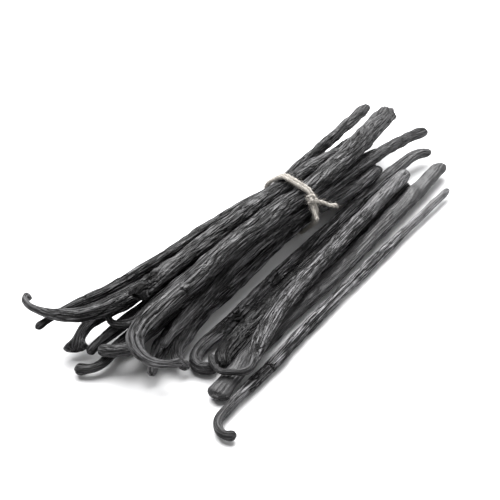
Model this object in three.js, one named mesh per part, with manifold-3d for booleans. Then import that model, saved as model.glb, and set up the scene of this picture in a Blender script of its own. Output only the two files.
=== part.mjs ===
// A bundle of cured vanilla pods, tied round the middle with twine.
//
// Millimetres, +Z up. +X runs along the bundle, from the pods' hooked stalk ends at -X to their
// blunt blossom ends at +X. The bundle lies on the plane Z = 0. Its routes are laid out round the
// tie, at X = 0, and at the end everything is shifted so that the origin is under the middle of
// the bundle.
//
// Each pod is one closed skin round a route: a few way points for the stiff body, then short arcs
// for the curled stalk. The pods are then pushed apart until none cuts another, those in the tie
// held inside its circle and the loose ones beside it outside that circle, and the twine follows
// the convex outline of the tied pods.

import * as THREE from "three";
import { mergeVertices } from "three/addons/utils/BufferGeometryUtils.js";
import Module from "manifold-3d";

// ---------- driving dimensions ----------

const TIE_Y = -0.8; // centre of the tie's circle
const TIE_Z = 12.1;
const TIE_RADIUS = 10.0; // the tied pods stay inside it
const TIE_REACH = 4; // how far along X the tie holds the pods
const TIE_SQUEEZE = 0.14; // how much thinner the twine makes the pods that it holds
const SQUEEZE_LENGTH = 14;
const TWINE_DIAMETER = 1.5;
const TWINE_CLEARANCE = 0.3;
const LOOSE_CLEARANCE = 0.7; // from the tie's circle and twine to the pods beside it

const ROUTE_POINTS = 200; // along a pod's way points
const CURL_STEP = 0.5; // along its arcs
const POD_GAP = 0.3; // left between two pods that lie against each other
const STATIONS = 61; // places along a pod where it may touch another
const SETTLE_ROUNDS = 260;
const STIFF_ROUNDS = 180; // rounds in which the pods stay smooth
const PUSH_SHARE = 0.7; // of each push that one round makes
const STIFF = { share: 0.5, passes: 3 }; // smoothing in those rounds
const SUPPLE = { share: 0.12, passes: 1 }; // and in the later ones
const CONTACT_REACH = 14; // pods further apart than this are not compared
const END_REACH = 2.2; // how far past a pod's end it still counts as touching

const BELLY = 0.1; // how much slimmer a body's two ends are than its middle
const BELLY_LEAN = 0.9; // under 1, the fullest place is nearer the blossom end
const BLOSSOM_END = 5; // length over which the blunt end rounds off
const BLOSSOM_FACE = 0.45; // share of the width left at its face
const STUB_LENGTH = 2.4; // a stub of the dried flower on a blossom end, and the shoulder behind it
const STUB_SHOULDER = 2.6;
const SLIM_START = 20; // where a slim blossom end begins to widen, and over what length
const SLIM_LENGTH = 40;
const NECK_START = 0.55; // shares of the neck's length where it begins and how fast it widens
const NECK_GROWTH = 0.9;
const NECK_LEAST = 8; // even without a neck, the body narrows over this length
const TIP_FACE = 0.4; // share of the stalk's width left at its face
const TIP_ROUND = 2; // length over which the stalk's tip rounds off
const KNOB_SWELL = 0.16; // the tip of a long stalk is a little thicker than its neck
const KNOB_PLACE = 1.6;
const KNOB_LENGTH = 1.3;
const KNOB_NECK = 8; // necks this long end in a knob
const SWELL_SPREAD = 0.12; // how far a swelling reaches, as a share of the pod
const NO_FLARE = [0, 1];

const POD_SIDES = 10;
const FURROWS = 3; // broad furrows along each pod
const FURROW_DEPTH = 0.1;
const FURROW_TWIST = 0.012; // radians a millimetre
const FURROW_PHASE = 2.4; // so that no two pods have their furrows alike
const BODY_STEP = 8.4; // distance between two rings of the skin along the body
const HOOK_STEP = 2.3; // and along the curled stalk
const HOOK_SPAN = 26;
const FIRST_RINGS = [0, 0.9, 2.6, 5.5]; // rings of the blossom end
const LAST_STEP = 0.6; // from the last ring but one to the stalk's face

const TWINE_STEPS = 40; // along the two turns, which lie side by side
const HULL_STEPS = 360; // directions in which the tied pods are measured
const HULL_REACH = 3.5; // how far along X that measuring looks
const KNOT_ANGLE = 146; // degrees round the tie from +Y, over the top
const KNOT_RADII = [2.3, 1.9, 1.5]; // along X, round the tie and out from it
const KNOT_SHIFT = -1.2; // along X
const KNOT_LIFT = 0.5; // share of its height by which its centre is off the turns
const TAIL_DIAMETER = 1.3;
const TAILS = [
  [[-1.2, -9.6, 17.6], [-3, -12.6, 15.9], [-4.2, -15.2, 13.4]],
  [[-1.2, -9.6, 17.6], [2.6, -12.2, 16.2], [4.8, -14.4, 14.6], [7.4, -15.6, 13.6]],
];
const TAIL_STEPS = 7;
const TAIL_SIDES = 8;

const MIDDLE_X = -11.5; // under the middle of the bundle's box
const MIDDLE_Y = -7.94;

// ---------- the pods ----------
//
// width and thick are the two sides of the flattened body, and roll turns it about its length.
// way holds the body's way points, from the blossom end past the tie to where the stalk begins.
// curl holds the stalk's arcs as [length, turn, dip]: a positive turn goes to -Y and a positive
// dip goes down, both in degrees. neck is the length of the thin stalk, and tip its width.
// swell is [place along the pod, how much wider it is there], slim the blossom end's width, and
// stub the share of the width that the stub at the blossom end has. flare is how much wider the
// stalk's face opens, as a share, and over what length.

const PODS = [
  { width: 6.2, thick: 5.0, roll: 20, tied: true, neck: 13, tip: 2.4, swell: [0.8, 0.2], flare: [0.35, 2.6],
    way: [[60, 5, 10], [0, 2.2, 15.2], [-50, 5, 15.6], [-80, 7.9, 15.6], [-92.2, 12, 15.6],
      [-98.4, 20.3, 15.5], [-99.8, 28.6, 15.3], [-98.2, 32.6, 15.2]],
    curl: [[1.5, -40, 4], [1.5, -60, 0]] },
  { width: 5.8, thick: 4.6, roll: 35, tied: true, neck: 12, tip: 2.5,
    way: [[77.5, 15.2, 12], [0, 5.2, 17.4], [-40, 7, 17], [-76.9, 13.2, 14.5], [-89.9, 18.7, 13]],
    curl: [[8, 12, 2], [6, 6, 0]] },
  { width: 6.8, thick: 5.0, roll: 10, tied: true, neck: 0, tip: 6.8, flare: [0.8, 1.6],
    way: [[58, 2, 9], [0, 1, 20], [-40, 0.5, 21.6], [-76, 0.6, 21]],
    curl: [[5, 6, 3]] },
  { width: 8.4, thick: 5.0, roll: -12, tied: true, neck: 13, tip: 2.9, stub: 0.36, swell: [0.1, 0.12],
    way: [[80, 8.9, 9.9], [0, -4.2, 18.8], [-42, -8, 22.2], [-82, -7.8, 18.4]],
    curl: [[8, 4, 12], [9, 84, 10], [7, 52, -16], [6, 8, -8]] },
  { width: 5.0, thick: 3.8, roll: -35, tied: true, neck: 5, tip: 3,
    way: [[78.6, -11.2, 9], [64, -8.4, 10.2], [0, -7.8, 14.4], [-40, -10.2, 17.2], [-78, -12.5, 12.4]],
    curl: [[8, 8, 10]] },
  { width: 5.8, thick: 4.6, roll: 10, tied: true, neck: 9, tip: 4, flare: [1.3, 3.5],
    way: [[46, 11, 5], [0, 6.6, 12.2], [-50, 8.8, 10], [-74.6, 11.8, 9.2], [-84.2, 15, 8.2]],
    curl: [[4, 16, 6], [4.5, 20, 3], [6.5, 20, 0]] },
  { width: 5.4, thick: 4.2, roll: 0, tied: true, neck: 7, tip: 3.7,
    way: [[52, 3, 6], [0, 4.8, 7.2], [-48, 3.3, 11.6], [-66, 4.8, 10.2], [-84, 6.3, 7.6]],
    curl: [[7, -6, 4], [6, 12, 6]] },
  { width: 5.6, thick: 4.4, roll: 0, tied: true, neck: 20, tip: 2.4,
    way: [[60, -1, 5], [0, -2.6, 14.4], [-50, -1, 14.6], [-81, 0.4, 10.4]],
    curl: [[5, -50, 4], [7, -72, -14], [5, 60, 10], [6, 44, 14]] },
  { width: 5.8, thick: 4.6, roll: 10, tied: true, neck: 2, tip: 4.6,
    way: [[50, -8, 4.5], [0, -2.4, 9.4], [-50, -3, 9.8], [-82, -3.6, 8.2]],
    curl: [[6, 8, 2], [3.5, -40, -4], [8.5, -38, -6]] },
  { width: 5.6, thick: 4.4, roll: 0, tied: true, neck: 11, tip: 3.5,
    way: [[58, 7, 4], [0, 1.6, 4.6], [-50, 1.6, 4.6], [-87, 1.6, 5.4]],
    curl: [[7, 10, 8], [4, -22, 4], [4, -44, 0], [4.4, -12, 0]] },
  { width: 6.0, thick: 5.0, roll: -5, tied: true, neck: 3, tip: 3.6,
    way: [[55, -3, 4], [0, -4, 4.9], [-50, -3.4, 3.8], [-76, -6.4, 4], [-86, -10.8, 4.6]],
    curl: [[7.5, 12, 4]] },
  { width: 5.4, thick: 4.4, roll: -20, tied: true, neck: 4, tip: 3.6,
    way: [[44, -9, 6], [0, -7.2, 9.4], [-45, -8.6, 6.4], [-66, -10.6, 6], [-78, -13.6, 5.2]],
    curl: [[4, 30, 4], [6, 64, 6]] },
  { width: 4.7, thick: 4.2, roll: -18, tied: false, neck: 2, tip: 5, swell: [0.86, 0.12],
    way: [[72, -17, 5.8], [63, -14.4, 7], [0, -13.7, 3], [-24, -15, 2.8], [-53.5, -17.9, 2.8],
      [-70.5, -18.4, 2.8]],
    curl: [[4.5, 12, 0], [5, 40, 0], [4.5, 80, 0], [3, 22, 0]] },
  { width: 7.8, thick: 4.6, roll: -10, tied: false, neck: 2, tip: 6.4,
    way: [[50, -22, 3], [0, -20.5, 2.6], [-50.9, -23.1, 2.6], [-66, -26.2, 2.6]],
    curl: [[5, 14, 0], [4, 24, 0]] },
  { width: 7.0, thick: 4.8, roll: 15, tied: false, neck: 18, tip: 2.2,
    way: [[51, -18, 5], [0, -24, 7.4], [-42, -29, 8], [-58.7, -32.8, 7.8], [-73.5, -38.4, 6.8]],
    curl: [[4, -75, 4], [4.5, -14, 0], [3, -22, -6], [3.5, -38, -10], [3, -16, -8]] },
  { width: 7.0, thick: 4.8, roll: 0, tied: false, neck: 0, tip: 8.8,
    way: [[67.4, -24.4, 4], [0, -28.8, 3], [-46.7, -30.5, 2.8], [-66, -31.7, 2.7], [-76, -33, 2.7]],
    curl: [[11, 4, 0]] },
  { width: 4.4, thick: 4.2, roll: 0, tied: false, neck: 17, tip: 3.3, slim: 3.2,
    way: [[55, -35, 3], [0, -36.4, 2.6], [-46.5, -38.5, 2.5], [-66, -40.2, 2.5], [-81, -40.5, 2.4]],
    curl: [[6, 3, 0], [5, 3, 0], [3.5, 26, 0], [3.5, 34, 0], [3, 52, 0], [2, 30, 0]] },
];

// ---------- small helpers ----------

const clamp01 = (x) => Math.min(1, Math.max(0, x));
const smooth01 = (x) => clamp01(x) ** 2 * (3 - 2 * clamp01(x));
const mix = (a, b, share) => a + (b - a) * share;
const radians = (degrees) => (degrees * Math.PI) / 180;
// A quarter circle that rises from 0 at x = 0 to 1 at x = 1.
const roundOff = (x) => Math.sqrt(1 - (1 - clamp01(x)) ** 2);

// ---------- routes ----------

// The pod's centre line, close points from the blossom end to the stalk's tip.
function routeOf(pod) {
  const way = pod.way.map((p) => new THREE.Vector3(...p));
  const points = new THREE.CatmullRomCurve3(way, false, "centripetal").getPoints(ROUTE_POINTS);
  const last = points[points.length - 1];
  const ahead = last.clone().sub(points[points.length - 2]);
  let heading = Math.atan2(-ahead.y, -ahead.x);
  let dip = -Math.atan2(ahead.z, Math.hypot(ahead.x, ahead.y));
  let here = last.clone();
  for (const [length, turn, drop] of pod.curl) {
    const steps = Math.round(length / CURL_STEP);
    for (let k = 0; k < steps; k++) {
      heading += radians(turn) / steps;
      dip += radians(drop) / steps;
      const flat = Math.cos(dip);
      const step = new THREE.Vector3(Math.cos(heading) * flat, Math.sin(heading) * flat, Math.sin(dip));
      here = here.clone().addScaledVector(step, -length / steps);
      points.push(here);
    }
  }
  return points;
}

// The same line as a fixed number of evenly spaced stations, with its length.
function spaced(points, count) {
  const run = [0];
  for (let k = 1; k < points.length; k++) {
    run.push(run[k - 1] + points[k].distanceTo(points[k - 1]));
  }
  const length = run[run.length - 1];
  const stations = [];
  let k = 1;
  for (let n = 0; n < count; n++) {
    const s = (length * n) / (count - 1);
    while (k < points.length - 1 && run[k] < s) k++;
    stations.push(points[k - 1].clone().lerp(points[k], (s - run[k - 1]) / (run[k] - run[k - 1])));
  }
  return { stations, length };
}

// Half the width and half the thickness at distance s from the blossom end.
function sectionOf(pod, s, length) {
  let body = 1 - BELLY + BELLY * Math.sin(Math.PI * (s / length) ** BELLY_LEAN);
  body *= mix(BLOSSOM_FACE, 1, roundOff(s / BLOSSOM_END));
  if (pod.stub) body *= mix(pod.stub, 1, smooth01((s - STUB_LENGTH) / STUB_SHOULDER));
  if (pod.slim) {
    body *= mix(pod.slim / pod.width, 1, smooth01((s - SLIM_START) / SLIM_LENGTH));
  }
  if (pod.swell) {
    const [place, more] = pod.swell;
    body *= 1 + more * Math.exp(-(((s / length - place) / SWELL_SPREAD) ** 2));
  }
  const left = length - s;
  const full = smooth01((left - pod.neck * NECK_START) / (pod.neck * NECK_GROWTH + NECK_LEAST));
  let end = mix(TIP_FACE, 1, roundOff(left / Math.min(TIP_ROUND, pod.tip / 2)));
  if (pod.neck >= KNOB_NECK) {
    end *= 1 + KNOB_SWELL * Math.exp(-(((left - KNOB_PLACE) / KNOB_LENGTH) ** 2));
  }
  const [wider, over] = pod.flare ?? NO_FLARE;
  const open = 1 + wider * Math.exp(-((left / over) ** 2));
  const width = mix(pod.tip, pod.width, full) * open;
  const thick = mix(Math.min(pod.tip, pod.thick), pod.thick, full);
  return [(width / 2) * body * end, (thick / 2) * body * end];
}

// The share of its size that the twine leaves a pod at x.
function squeezeOf(pod, x) {
  return pod.tied ? 1 - TIE_SQUEEZE * Math.exp(-((x / SQUEEZE_LENGTH) ** 2)) : 1;
}

// The pod laid out: its stations, its half sides there and its roll.
function layOut(pod) {
  const { stations, length } = spaced(routeOf(pod), STATIONS);
  const half = stations.map((p, n) => {
    const squeeze = squeezeOf(pod, p.x);
    return sectionOf(pod, (length * n) / (STATIONS - 1), length).map((h) => h * squeeze);
  });
  return { pod, length, half, roll: radians(pod.roll), start: stations, at: stations.map((p) => p.clone()) };
}

// The section's wide and thin directions at a point of a line with that tangent.
const UP = new THREE.Vector3(0, 0, 1);

function sides(tangent, roll) {
  const level = UP.clone().cross(tangent).normalize();
  const over = tangent.clone().cross(level);
  const wide = level.clone().multiplyScalar(Math.cos(roll)).addScaledVector(over, Math.sin(roll));
  const thin = level.multiplyScalar(-Math.sin(roll)).addScaledVector(over, Math.cos(roll));
  return [wide, thin];
}

function framesOf(line, roll) {
  const end = line.length - 1;
  return line.map((p, n) => {
    const tangent = line[Math.min(n + 1, end)].clone().sub(line[Math.max(n - 1, 0)]).normalize();
    return [tangent, ...sides(tangent, roll)];
  });
}

// How far a section reaches along a unit direction.
function reach(half, frame, way) {
  return Math.hypot(half[0] * way.dot(frame[1]), half[1] * way.dot(frame[2]));
}

// ---------- settling ----------

// One pod's push away from another: each station of the first looks for the nearest station of
// the second and steps half of the way out of it.
function pushApart(one, other, push) {
  const gap = new THREE.Vector3();
  for (let n = 0; n < STATIONS; n++) {
    let best = Infinity;
    let near = 0;
    const p = one.at[n];
    for (let k = 0; k < STATIONS; k++) {
      const d = p.distanceToSquared(other.at[k]);
      if (d < best) {
        best = d;
        near = k;
      }
    }
    if (best >= CONTACT_REACH ** 2) continue;
    gap.copy(p).sub(other.at[near]);
    const along = gap.dot(other.frames[near][0]);
    if (Math.abs(along) > END_REACH) continue;
    gap.addScaledVector(other.frames[near][0], -along);
    const distance = Math.max(gap.length(), 1e-9);
    gap.divideScalar(distance);
    const mine = reach(one.half[n], one.frames[n], gap);
    const theirs = reach(other.half[near], other.frames[near], gap);
    const deep = mine + theirs + POD_GAP - distance;
    if (deep > 0) push[n].addScaledVector(gap, 0.5 * deep);
  }
}

// Keeps a tied pod inside the tie's circle and a loose one outside it, and both above the floor.
function pushByTieAndFloor(one, push) {
  const out = new THREE.Vector3();
  for (let n = 0; n < STATIONS; n++) {
    const p = one.at[n];
    if (Math.abs(p.x) < TIE_REACH) {
      out.set(0, p.y - TIE_Y, p.z - TIE_Z);
      const radius = Math.max(out.length(), 1e-9);
      out.divideScalar(radius);
      const size = reach(one.half[n], one.frames[n], out);
      const deep = one.pod.tied
        ? -Math.max(0, radius + size - TIE_RADIUS)
        : Math.max(0, TIE_RADIUS + TWINE_DIAMETER + LOOSE_CLEARANCE - (radius - size));
      push[n].addScaledVector(out, deep);
    }
    push[n].z += Math.max(0, reach(one.half[n], one.frames[n], UP) - p.z);
  }
}

// Smooths how far each station has moved from where it was laid out, so that the pod stays stiff.
function stiffen(one, { share, passes }) {
  const end = STATIONS - 1;
  let moved = one.at.map((p, n) => p.clone().sub(one.start[n]));
  for (let k = 0; k < passes; k++) {
    moved = moved.map((d, n) => {
      const before = moved[n === 0 ? 1 : n - 1];
      const after = moved[n === end ? end - 1 : n + 1];
      return d.clone().lerp(before.clone().lerp(after, 0.5), share);
    });
  }
  one.at.forEach((p, n) => p.copy(one.start[n]).add(moved[n]));
}

function settle(bundle) {
  for (let round = 0; round < SETTLE_ROUNDS; round++) {
    for (const one of bundle) one.frames = framesOf(one.at, one.roll);
    const pushes = bundle.map((one) => {
      const push = one.at.map(() => new THREE.Vector3());
      for (const other of bundle) {
        if (other !== one) pushApart(one, other, push);
      }
      pushByTieAndFloor(one, push);
      return push;
    });
    bundle.forEach((one, n) => {
      one.at.forEach((p, k) => p.addScaledVector(pushes[n][k], PUSH_SHARE));
      stiffen(one, round < STIFF_ROUNDS ? STIFF : SUPPLE);
    });
  }
}

// ---------- skins ----------

// Where the skin has its rings: close together at both ends, further apart along the body.
function ringPlaces(length) {
  const places = [...FIRST_RINGS];
  const addUpTo = (end, step) => {
    const start = places[places.length - 1];
    const count = Math.round((end - start) / step);
    for (let k = 1; k <= count; k++) places.push(mix(start, end, k / count));
  };
  addUpTo(length - HOOK_SPAN, BODY_STEP);
  addUpTo(length - LAST_STEP, HOOK_STEP);
  places.push(length);
  return places;
}

// A closed skin from rings of points, its quads all split the same way. A round one joins its
// last ring to its first, and any other has a fan over each end ring.
function skin(rings, round) {
  const count = rings[0].length;
  const position = [];
  for (const ring of rings) for (const p of ring) position.push(p.x, p.y, p.z);
  const index = [];
  const spans = round ? rings.length : rings.length - 1;
  for (let r = 0; r < spans; r++) {
    const here = r * count;
    const next = ((r + 1) % rings.length) * count;
    for (let k = 0; k < count; k++) {
      const beside = (k + 1) % count;
      index.push(here + k, here + beside, next + beside, here + k, next + beside, next + k);
    }
  }
  const last = (rings.length - 1) * count;
  for (let k = 1; !round && k + 1 < count; k++) {
    index.push(0, k + 1, k, last, last + k, last + k + 1);
  }
  const geometry = new THREE.BufferGeometry();
  geometry.setAttribute("position", new THREE.Float32BufferAttribute(position, 3));
  geometry.setIndex(index);
  return geometry;
}

// The pod's skin: an oval section with broad furrows, which never leaves the oval.
function podGeometry(one, number) {
  const line = new THREE.CatmullRomCurve3(one.at, false, "catmullrom", 0.5);
  const rings = ringPlaces(one.length).map((s) => {
    const centre = line.getPoint(s / one.length);
    const [wide, thin] = sides(line.getTangent(s / one.length), one.roll);
    const half = sectionOf(one.pod, s, one.length).map((h) => h * squeezeOf(one.pod, centre.x));
    return Array.from({ length: POD_SIDES }, (_, k) => {
      const angle = (2 * Math.PI * k) / POD_SIDES;
      const wave = Math.cos(FURROWS * angle + number * FURROW_PHASE + FURROW_TWIST * s);
      const radius = 1 - FURROW_DEPTH * (0.5 - 0.5 * wave);
      return centre
        .clone()
        .addScaledVector(wide, half[0] * Math.cos(angle) * radius)
        .addScaledVector(thin, half[1] * Math.sin(angle) * radius);
    });
  });
  return skin(rings, false);
}

// ---------- the twine ----------

// The convex outline of the tied pods in the plane X = 0, a clearance and half a twine further
// out: how far they reach in each direction, and where neighbouring lines at that reach cross.
function twineLoop(bundle) {
  const step = (2 * Math.PI) / HULL_STEPS;
  const out = TWINE_CLEARANCE + TWINE_DIAMETER / 2;
  const reaches = Array.from({ length: HULL_STEPS }, (_, k) => {
    const way = new THREE.Vector3(0, Math.cos(k * step), Math.sin(k * step));
    let most = 0;
    for (const one of bundle.filter((pod) => pod.pod.tied)) {
      one.at.forEach((p, n) => {
        if (Math.abs(p.x) > HULL_REACH) return;
        const size = reach(one.half[n], one.frames[n], way);
        most = Math.max(most, (p.y - TIE_Y) * way.y + (p.z - TIE_Z) * way.z + size);
      });
    }
    return most + out;
  });
  const corners = reaches.map((near, k) => {
    const next = reaches[(k + 1) % HULL_STEPS];
    const slope = (next - near * Math.cos(step)) / Math.sin(step);
    const [c, s] = [Math.cos(k * step), Math.sin(k * step)];
    return new THREE.Vector3(0, TIE_Y + near * c - slope * s, TIE_Z + near * s + slope * c);
  });
  return spaced([...corners, corners[0]], TWINE_STEPS + 1).stations.slice(0, -1);
}

// Both turns as one closed band: two rounds side by side, with a waist between them.
function bandGeometry(loop) {
  const radius = TWINE_DIAMETER / 2;
  const quarters = [240, 180, 120, 60].map(radians);
  const right = quarters.map((a) => [radius - radius * Math.cos(a), radius * Math.sin(a)]);
  const left = right.map(([x, out]) => [-x, -out]);
  const profile = [[0, -radius / 2], ...right, [0, radius / 2], ...left];
  const rings = loop.map((p, k) => {
    const before = loop[(k + TWINE_STEPS - 1) % TWINE_STEPS];
    const after = loop[(k + 1) % TWINE_STEPS];
    const along = after.clone().sub(before).normalize();
    const outward = new THREE.Vector3(0, along.z, -along.y);
    return profile.map(([x, out]) => p.clone().addScaledVector(outward, out).setX(x));
  });
  return skin(rings, true);
}

function knotGeometry(loop) {
  const angle = radians(KNOT_ANGLE);
  const way = new THREE.Vector3(0, Math.cos(angle), Math.sin(angle));
  const centre = new THREE.Vector3(0, TIE_Y, TIE_Z);
  const off = (p) => p.clone().sub(centre).angleTo(way);
  const place = loop.reduce((best, p) => (off(p) < off(best) ? p : best));
  const [alongX, around, outward] = KNOT_RADII;
  const knot = new THREE.SphereGeometry(1, 12, 8);
  knot.scale(alongX, around, outward);
  knot.rotateX(angle - Math.PI / 2);
  const middle = place.clone().addScaledVector(way, outward * KNOT_LIFT);
  knot.translate(KNOT_SHIFT, middle.y, middle.z);
  return knot;
}

function tailGeometry(way) {
  const round = new THREE.Shape();
  round.absarc(0, 0, TAIL_DIAMETER / 2, 0, 2 * Math.PI);
  const extrudePath = new THREE.CatmullRomCurve3(way.map((p) => new THREE.Vector3(...p)));
  return new THREE.ExtrudeGeometry(round, { extrudePath, steps: TAIL_STEPS, curveSegments: TAIL_SIDES });
}

const wasm = await Module();
wasm.setup();

function toSolid(geometry) {
  geometry.deleteAttribute("normal");
  geometry.deleteAttribute("uv");
  const merged = mergeVertices(geometry, 1e-4);
  return new wasm.Manifold(
    new wasm.Mesh({
      numProp: 3,
      vertProperties: new Float32Array(merged.attributes.position.array),
      triVerts: new Uint32Array(merged.index.array),
    }),
  );
}

function toGeometry(solid) {
  const mesh = solid.getMesh();
  const geometry = new THREE.BufferGeometry();
  geometry.setAttribute("position", new THREE.BufferAttribute(mesh.vertProperties, 3));
  geometry.setIndex(new THREE.BufferAttribute(mesh.triVerts, 1));
  return geometry;
}

function twineGeometry(bundle) {
  const loop = twineLoop(bundle);
  const pieces = [bandGeometry(loop), knotGeometry(loop), ...TAILS.map(tailGeometry)];
  return toGeometry(pieces.map(toSolid).reduce((all, piece) => all.add(piece)));
}

// ---------- the bundle ----------

const podMaterial = new THREE.MeshStandardMaterial({ color: 0x1b1a1d, roughness: 0.45, metalness: 0 });
const twineMaterial = new THREE.MeshStandardMaterial({ color: 0xcfc6b4, roughness: 0.95, metalness: 0 });

const bundle = PODS.map(layOut);
settle(bundle);

const part = new THREE.Group();
part.name = "vanilla_bundle";
part.position.set(-MIDDLE_X, -MIDDLE_Y, 0);

bundle.forEach((one, n) => {
  const mesh = new THREE.Mesh(podGeometry(one, n), podMaterial);
  mesh.name = `pod_${String(n + 1).padStart(2, "0")}`;
  part.add(mesh);
});

const twine = new THREE.Mesh(twineGeometry(bundle), twineMaterial);
twine.name = "twine";
part.add(twine);

export default part;
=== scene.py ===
"""The looks of a tied bundle of cured vanilla pods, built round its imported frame.

Lengths are millimetres in the layout of the bundle, whose tie is at X = 0, until a mesh is made:
then they become metres in the frame, whose origin is under the middle of the bundle. Each pod's
centre line is laid out and settled as in its solid. A fine skin is then carried along it, with
the ridges, cracks and puckers of a dried fruit, and the twine is laid strand by strand round the
outline of the tied pods.
"""

from __future__ import annotations

import logging
from dataclasses import dataclass, field
from enum import Enum

import bpy
import numpy as np
from bpy.types import Material, Node, NodeSocket, NodeTree, Object
from mathutils import Matrix, Vector

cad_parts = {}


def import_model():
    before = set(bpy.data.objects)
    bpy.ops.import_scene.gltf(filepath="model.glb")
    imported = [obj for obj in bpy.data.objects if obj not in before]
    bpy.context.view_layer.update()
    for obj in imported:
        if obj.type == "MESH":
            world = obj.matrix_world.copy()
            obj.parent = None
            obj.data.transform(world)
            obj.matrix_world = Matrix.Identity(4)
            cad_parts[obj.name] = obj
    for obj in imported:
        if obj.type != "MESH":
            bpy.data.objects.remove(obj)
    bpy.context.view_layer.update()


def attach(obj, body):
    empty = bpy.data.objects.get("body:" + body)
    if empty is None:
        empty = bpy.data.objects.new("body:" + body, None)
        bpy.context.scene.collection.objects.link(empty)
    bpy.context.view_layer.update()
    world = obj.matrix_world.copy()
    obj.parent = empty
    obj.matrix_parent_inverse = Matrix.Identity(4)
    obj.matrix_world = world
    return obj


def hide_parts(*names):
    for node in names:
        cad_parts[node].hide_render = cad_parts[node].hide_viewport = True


log = logging.getLogger("vanilla_bundle")

MM = 0.001  # metres in a millimetre
BODY = "root"
FRAME_SHIFT = np.array([11.5, 7.94, 0.0])  # from the layout to the frame
UP = np.array([0.0, 0.0, 1.0])
ASLANT = np.array([0.31, 0.17, 1.0])  # no strand of the twine runs this way
TURN = 2.0 * np.pi
USUAL_FINE = 84  # points round a pod

Colour = tuple[float, float, float, float]
Point = tuple[float, float, float]
Arc = tuple[float, float, float]  # its length in millimetres, its turn and its dip in degrees
Cracks = tuple[float, float, float]  # how many round the pod, their spread, their run in mm


# ---------------------------------------------------------------- numbers

def smooth(x: np.ndarray) -> np.ndarray:
    """Rises from 0 to 1 as x does, level at both ends: 3x squared minus 2x cubed."""
    x = np.clip(x, 0.0, 1.0)
    return x * x * (3.0 - 2.0 * x)


def round_off(x: np.ndarray) -> np.ndarray:
    """A quarter circle that rises from 0 at x = 0 to 1 at x = 1."""
    return np.sqrt(np.clip(1.0 - (1.0 - np.clip(x, 0.0, 1.0)) ** 2, 0.0, 1.0))


def mix(a: float, b: float, share: np.ndarray) -> np.ndarray:
    """Goes from a to b as share goes from 0 to 1."""
    return a + (b - a) * share


def bell(x: np.ndarray) -> np.ndarray:
    """The bell curve exp(-x squared)."""
    return np.exp(-np.square(x))


def unit(vectors: np.ndarray) -> np.ndarray:
    """The vectors along the last axis, each scaled to length 1."""
    return vectors / np.maximum(np.linalg.norm(vectors, axis=-1, keepdims=True), 1e-12)


def dot(a: np.ndarray, b: np.ndarray) -> np.ndarray:
    """The dot products along the last axis."""
    return (a * b).sum(-1)


def ripple(
    rng: np.random.Generator,
    theta: np.ndarray,
    s: np.ndarray,
    around: float,
    spread: float,
    length: float,
    sway: np.ndarray | float = 0.0,
    waves: int = 40,
) -> np.ndarray:
    """A smooth random field on a skin that closes round its girth.

    It is the sum of plane waves cos(m theta + 2 pi f s + phase). m is a whole number near
    around, so each wave closes, and f is drawn from a bell curve of width 1 / length. Where
    length is much longer than a ridge is wide, the field's zero lines run along the pod, split
    and join, as the cracks between its ridges do.

    Args:
        rng: the source of the waves.
        theta: angles round the girth, shape (T,).
        s: places along the pod, shape (N,).
        around: how many waves there are round the girth.
        spread: how much that number varies.
        length: how far a ridge runs, in the units of s.
        sway: how far the ridges lean round the girth at each s, in radians.
        waves: how many waves are added up.

    Returns:
        The field, shape (N, T), with a mean of 0 and a spread of 1.
    """
    count = np.rint(rng.normal(around, spread, waves))
    pace = rng.normal(0.0, 1.0 / length, waves)
    phase = rng.uniform(0.0, TURN, waves)
    lean = np.asarray(sway) * np.ones_like(s)
    along = TURN * np.outer(s, pace) + phase + np.outer(lean, count)
    across = np.outer(count, theta)
    total = np.cos(along) @ np.cos(across) - np.sin(along) @ np.sin(across)
    return total * np.sqrt(2.0 / waves)


def wander(rng: np.random.Generator, s: np.ndarray, length: float, waves: int = 8) -> np.ndarray:
    """A slow random curve over s: a sum of sines no shorter than length, with a spread of 1."""
    slowest = 0.2  # against the fastest sine
    pace = rng.uniform(slowest, 1.0, waves) / length
    phase = rng.uniform(0.0, TURN, waves)
    return np.sin(TURN * np.outer(s, pace) + phase).sum(1) * np.sqrt(2.0 / waves)


# ---------------------------------------------------------------- lines

def through(points: np.ndarray, count: int) -> np.ndarray:
    """A centripetal Catmull-Rom curve through the points.

    Each stretch blends the lines through four neighbouring points, with knots spaced by the
    square root of the distance between them. The two ends are continued by reflection.

    Args:
        points: what the curve passes through, shape (K, 3).
        count: how many points to put on it in all.

    Returns:
        The points on the curve, shape (about count, 3).
    """
    p = np.vstack([2 * points[0] - points[1], points, 2 * points[-1] - points[-2]])
    t = np.concatenate([[0.0], np.cumsum(np.linalg.norm(np.diff(p, axis=0), axis=1) ** 0.5)])
    stretches = []
    last = len(p) - 4
    for k in range(last + 1):
        t0, t1, t2, t3 = t[k : k + 4]
        u = np.linspace(t1, t2, count // (last + 1), endpoint=(k == last))[:, None]
        a1 = (t1 - u) / (t1 - t0) * p[k] + (u - t0) / (t1 - t0) * p[k + 1]
        a2 = (t2 - u) / (t2 - t1) * p[k + 1] + (u - t1) / (t2 - t1) * p[k + 2]
        a3 = (t3 - u) / (t3 - t2) * p[k + 2] + (u - t2) / (t3 - t2) * p[k + 3]
        b1 = (t2 - u) / (t2 - t0) * a1 + (u - t0) / (t2 - t0) * a2
        b2 = (t3 - u) / (t3 - t1) * a2 + (u - t1) / (t3 - t1) * a3
        stretches.append((t2 - u) / (t2 - t1) * b1 + (u - t1) / (t2 - t1) * b2)
    return np.vstack(stretches)


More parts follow.
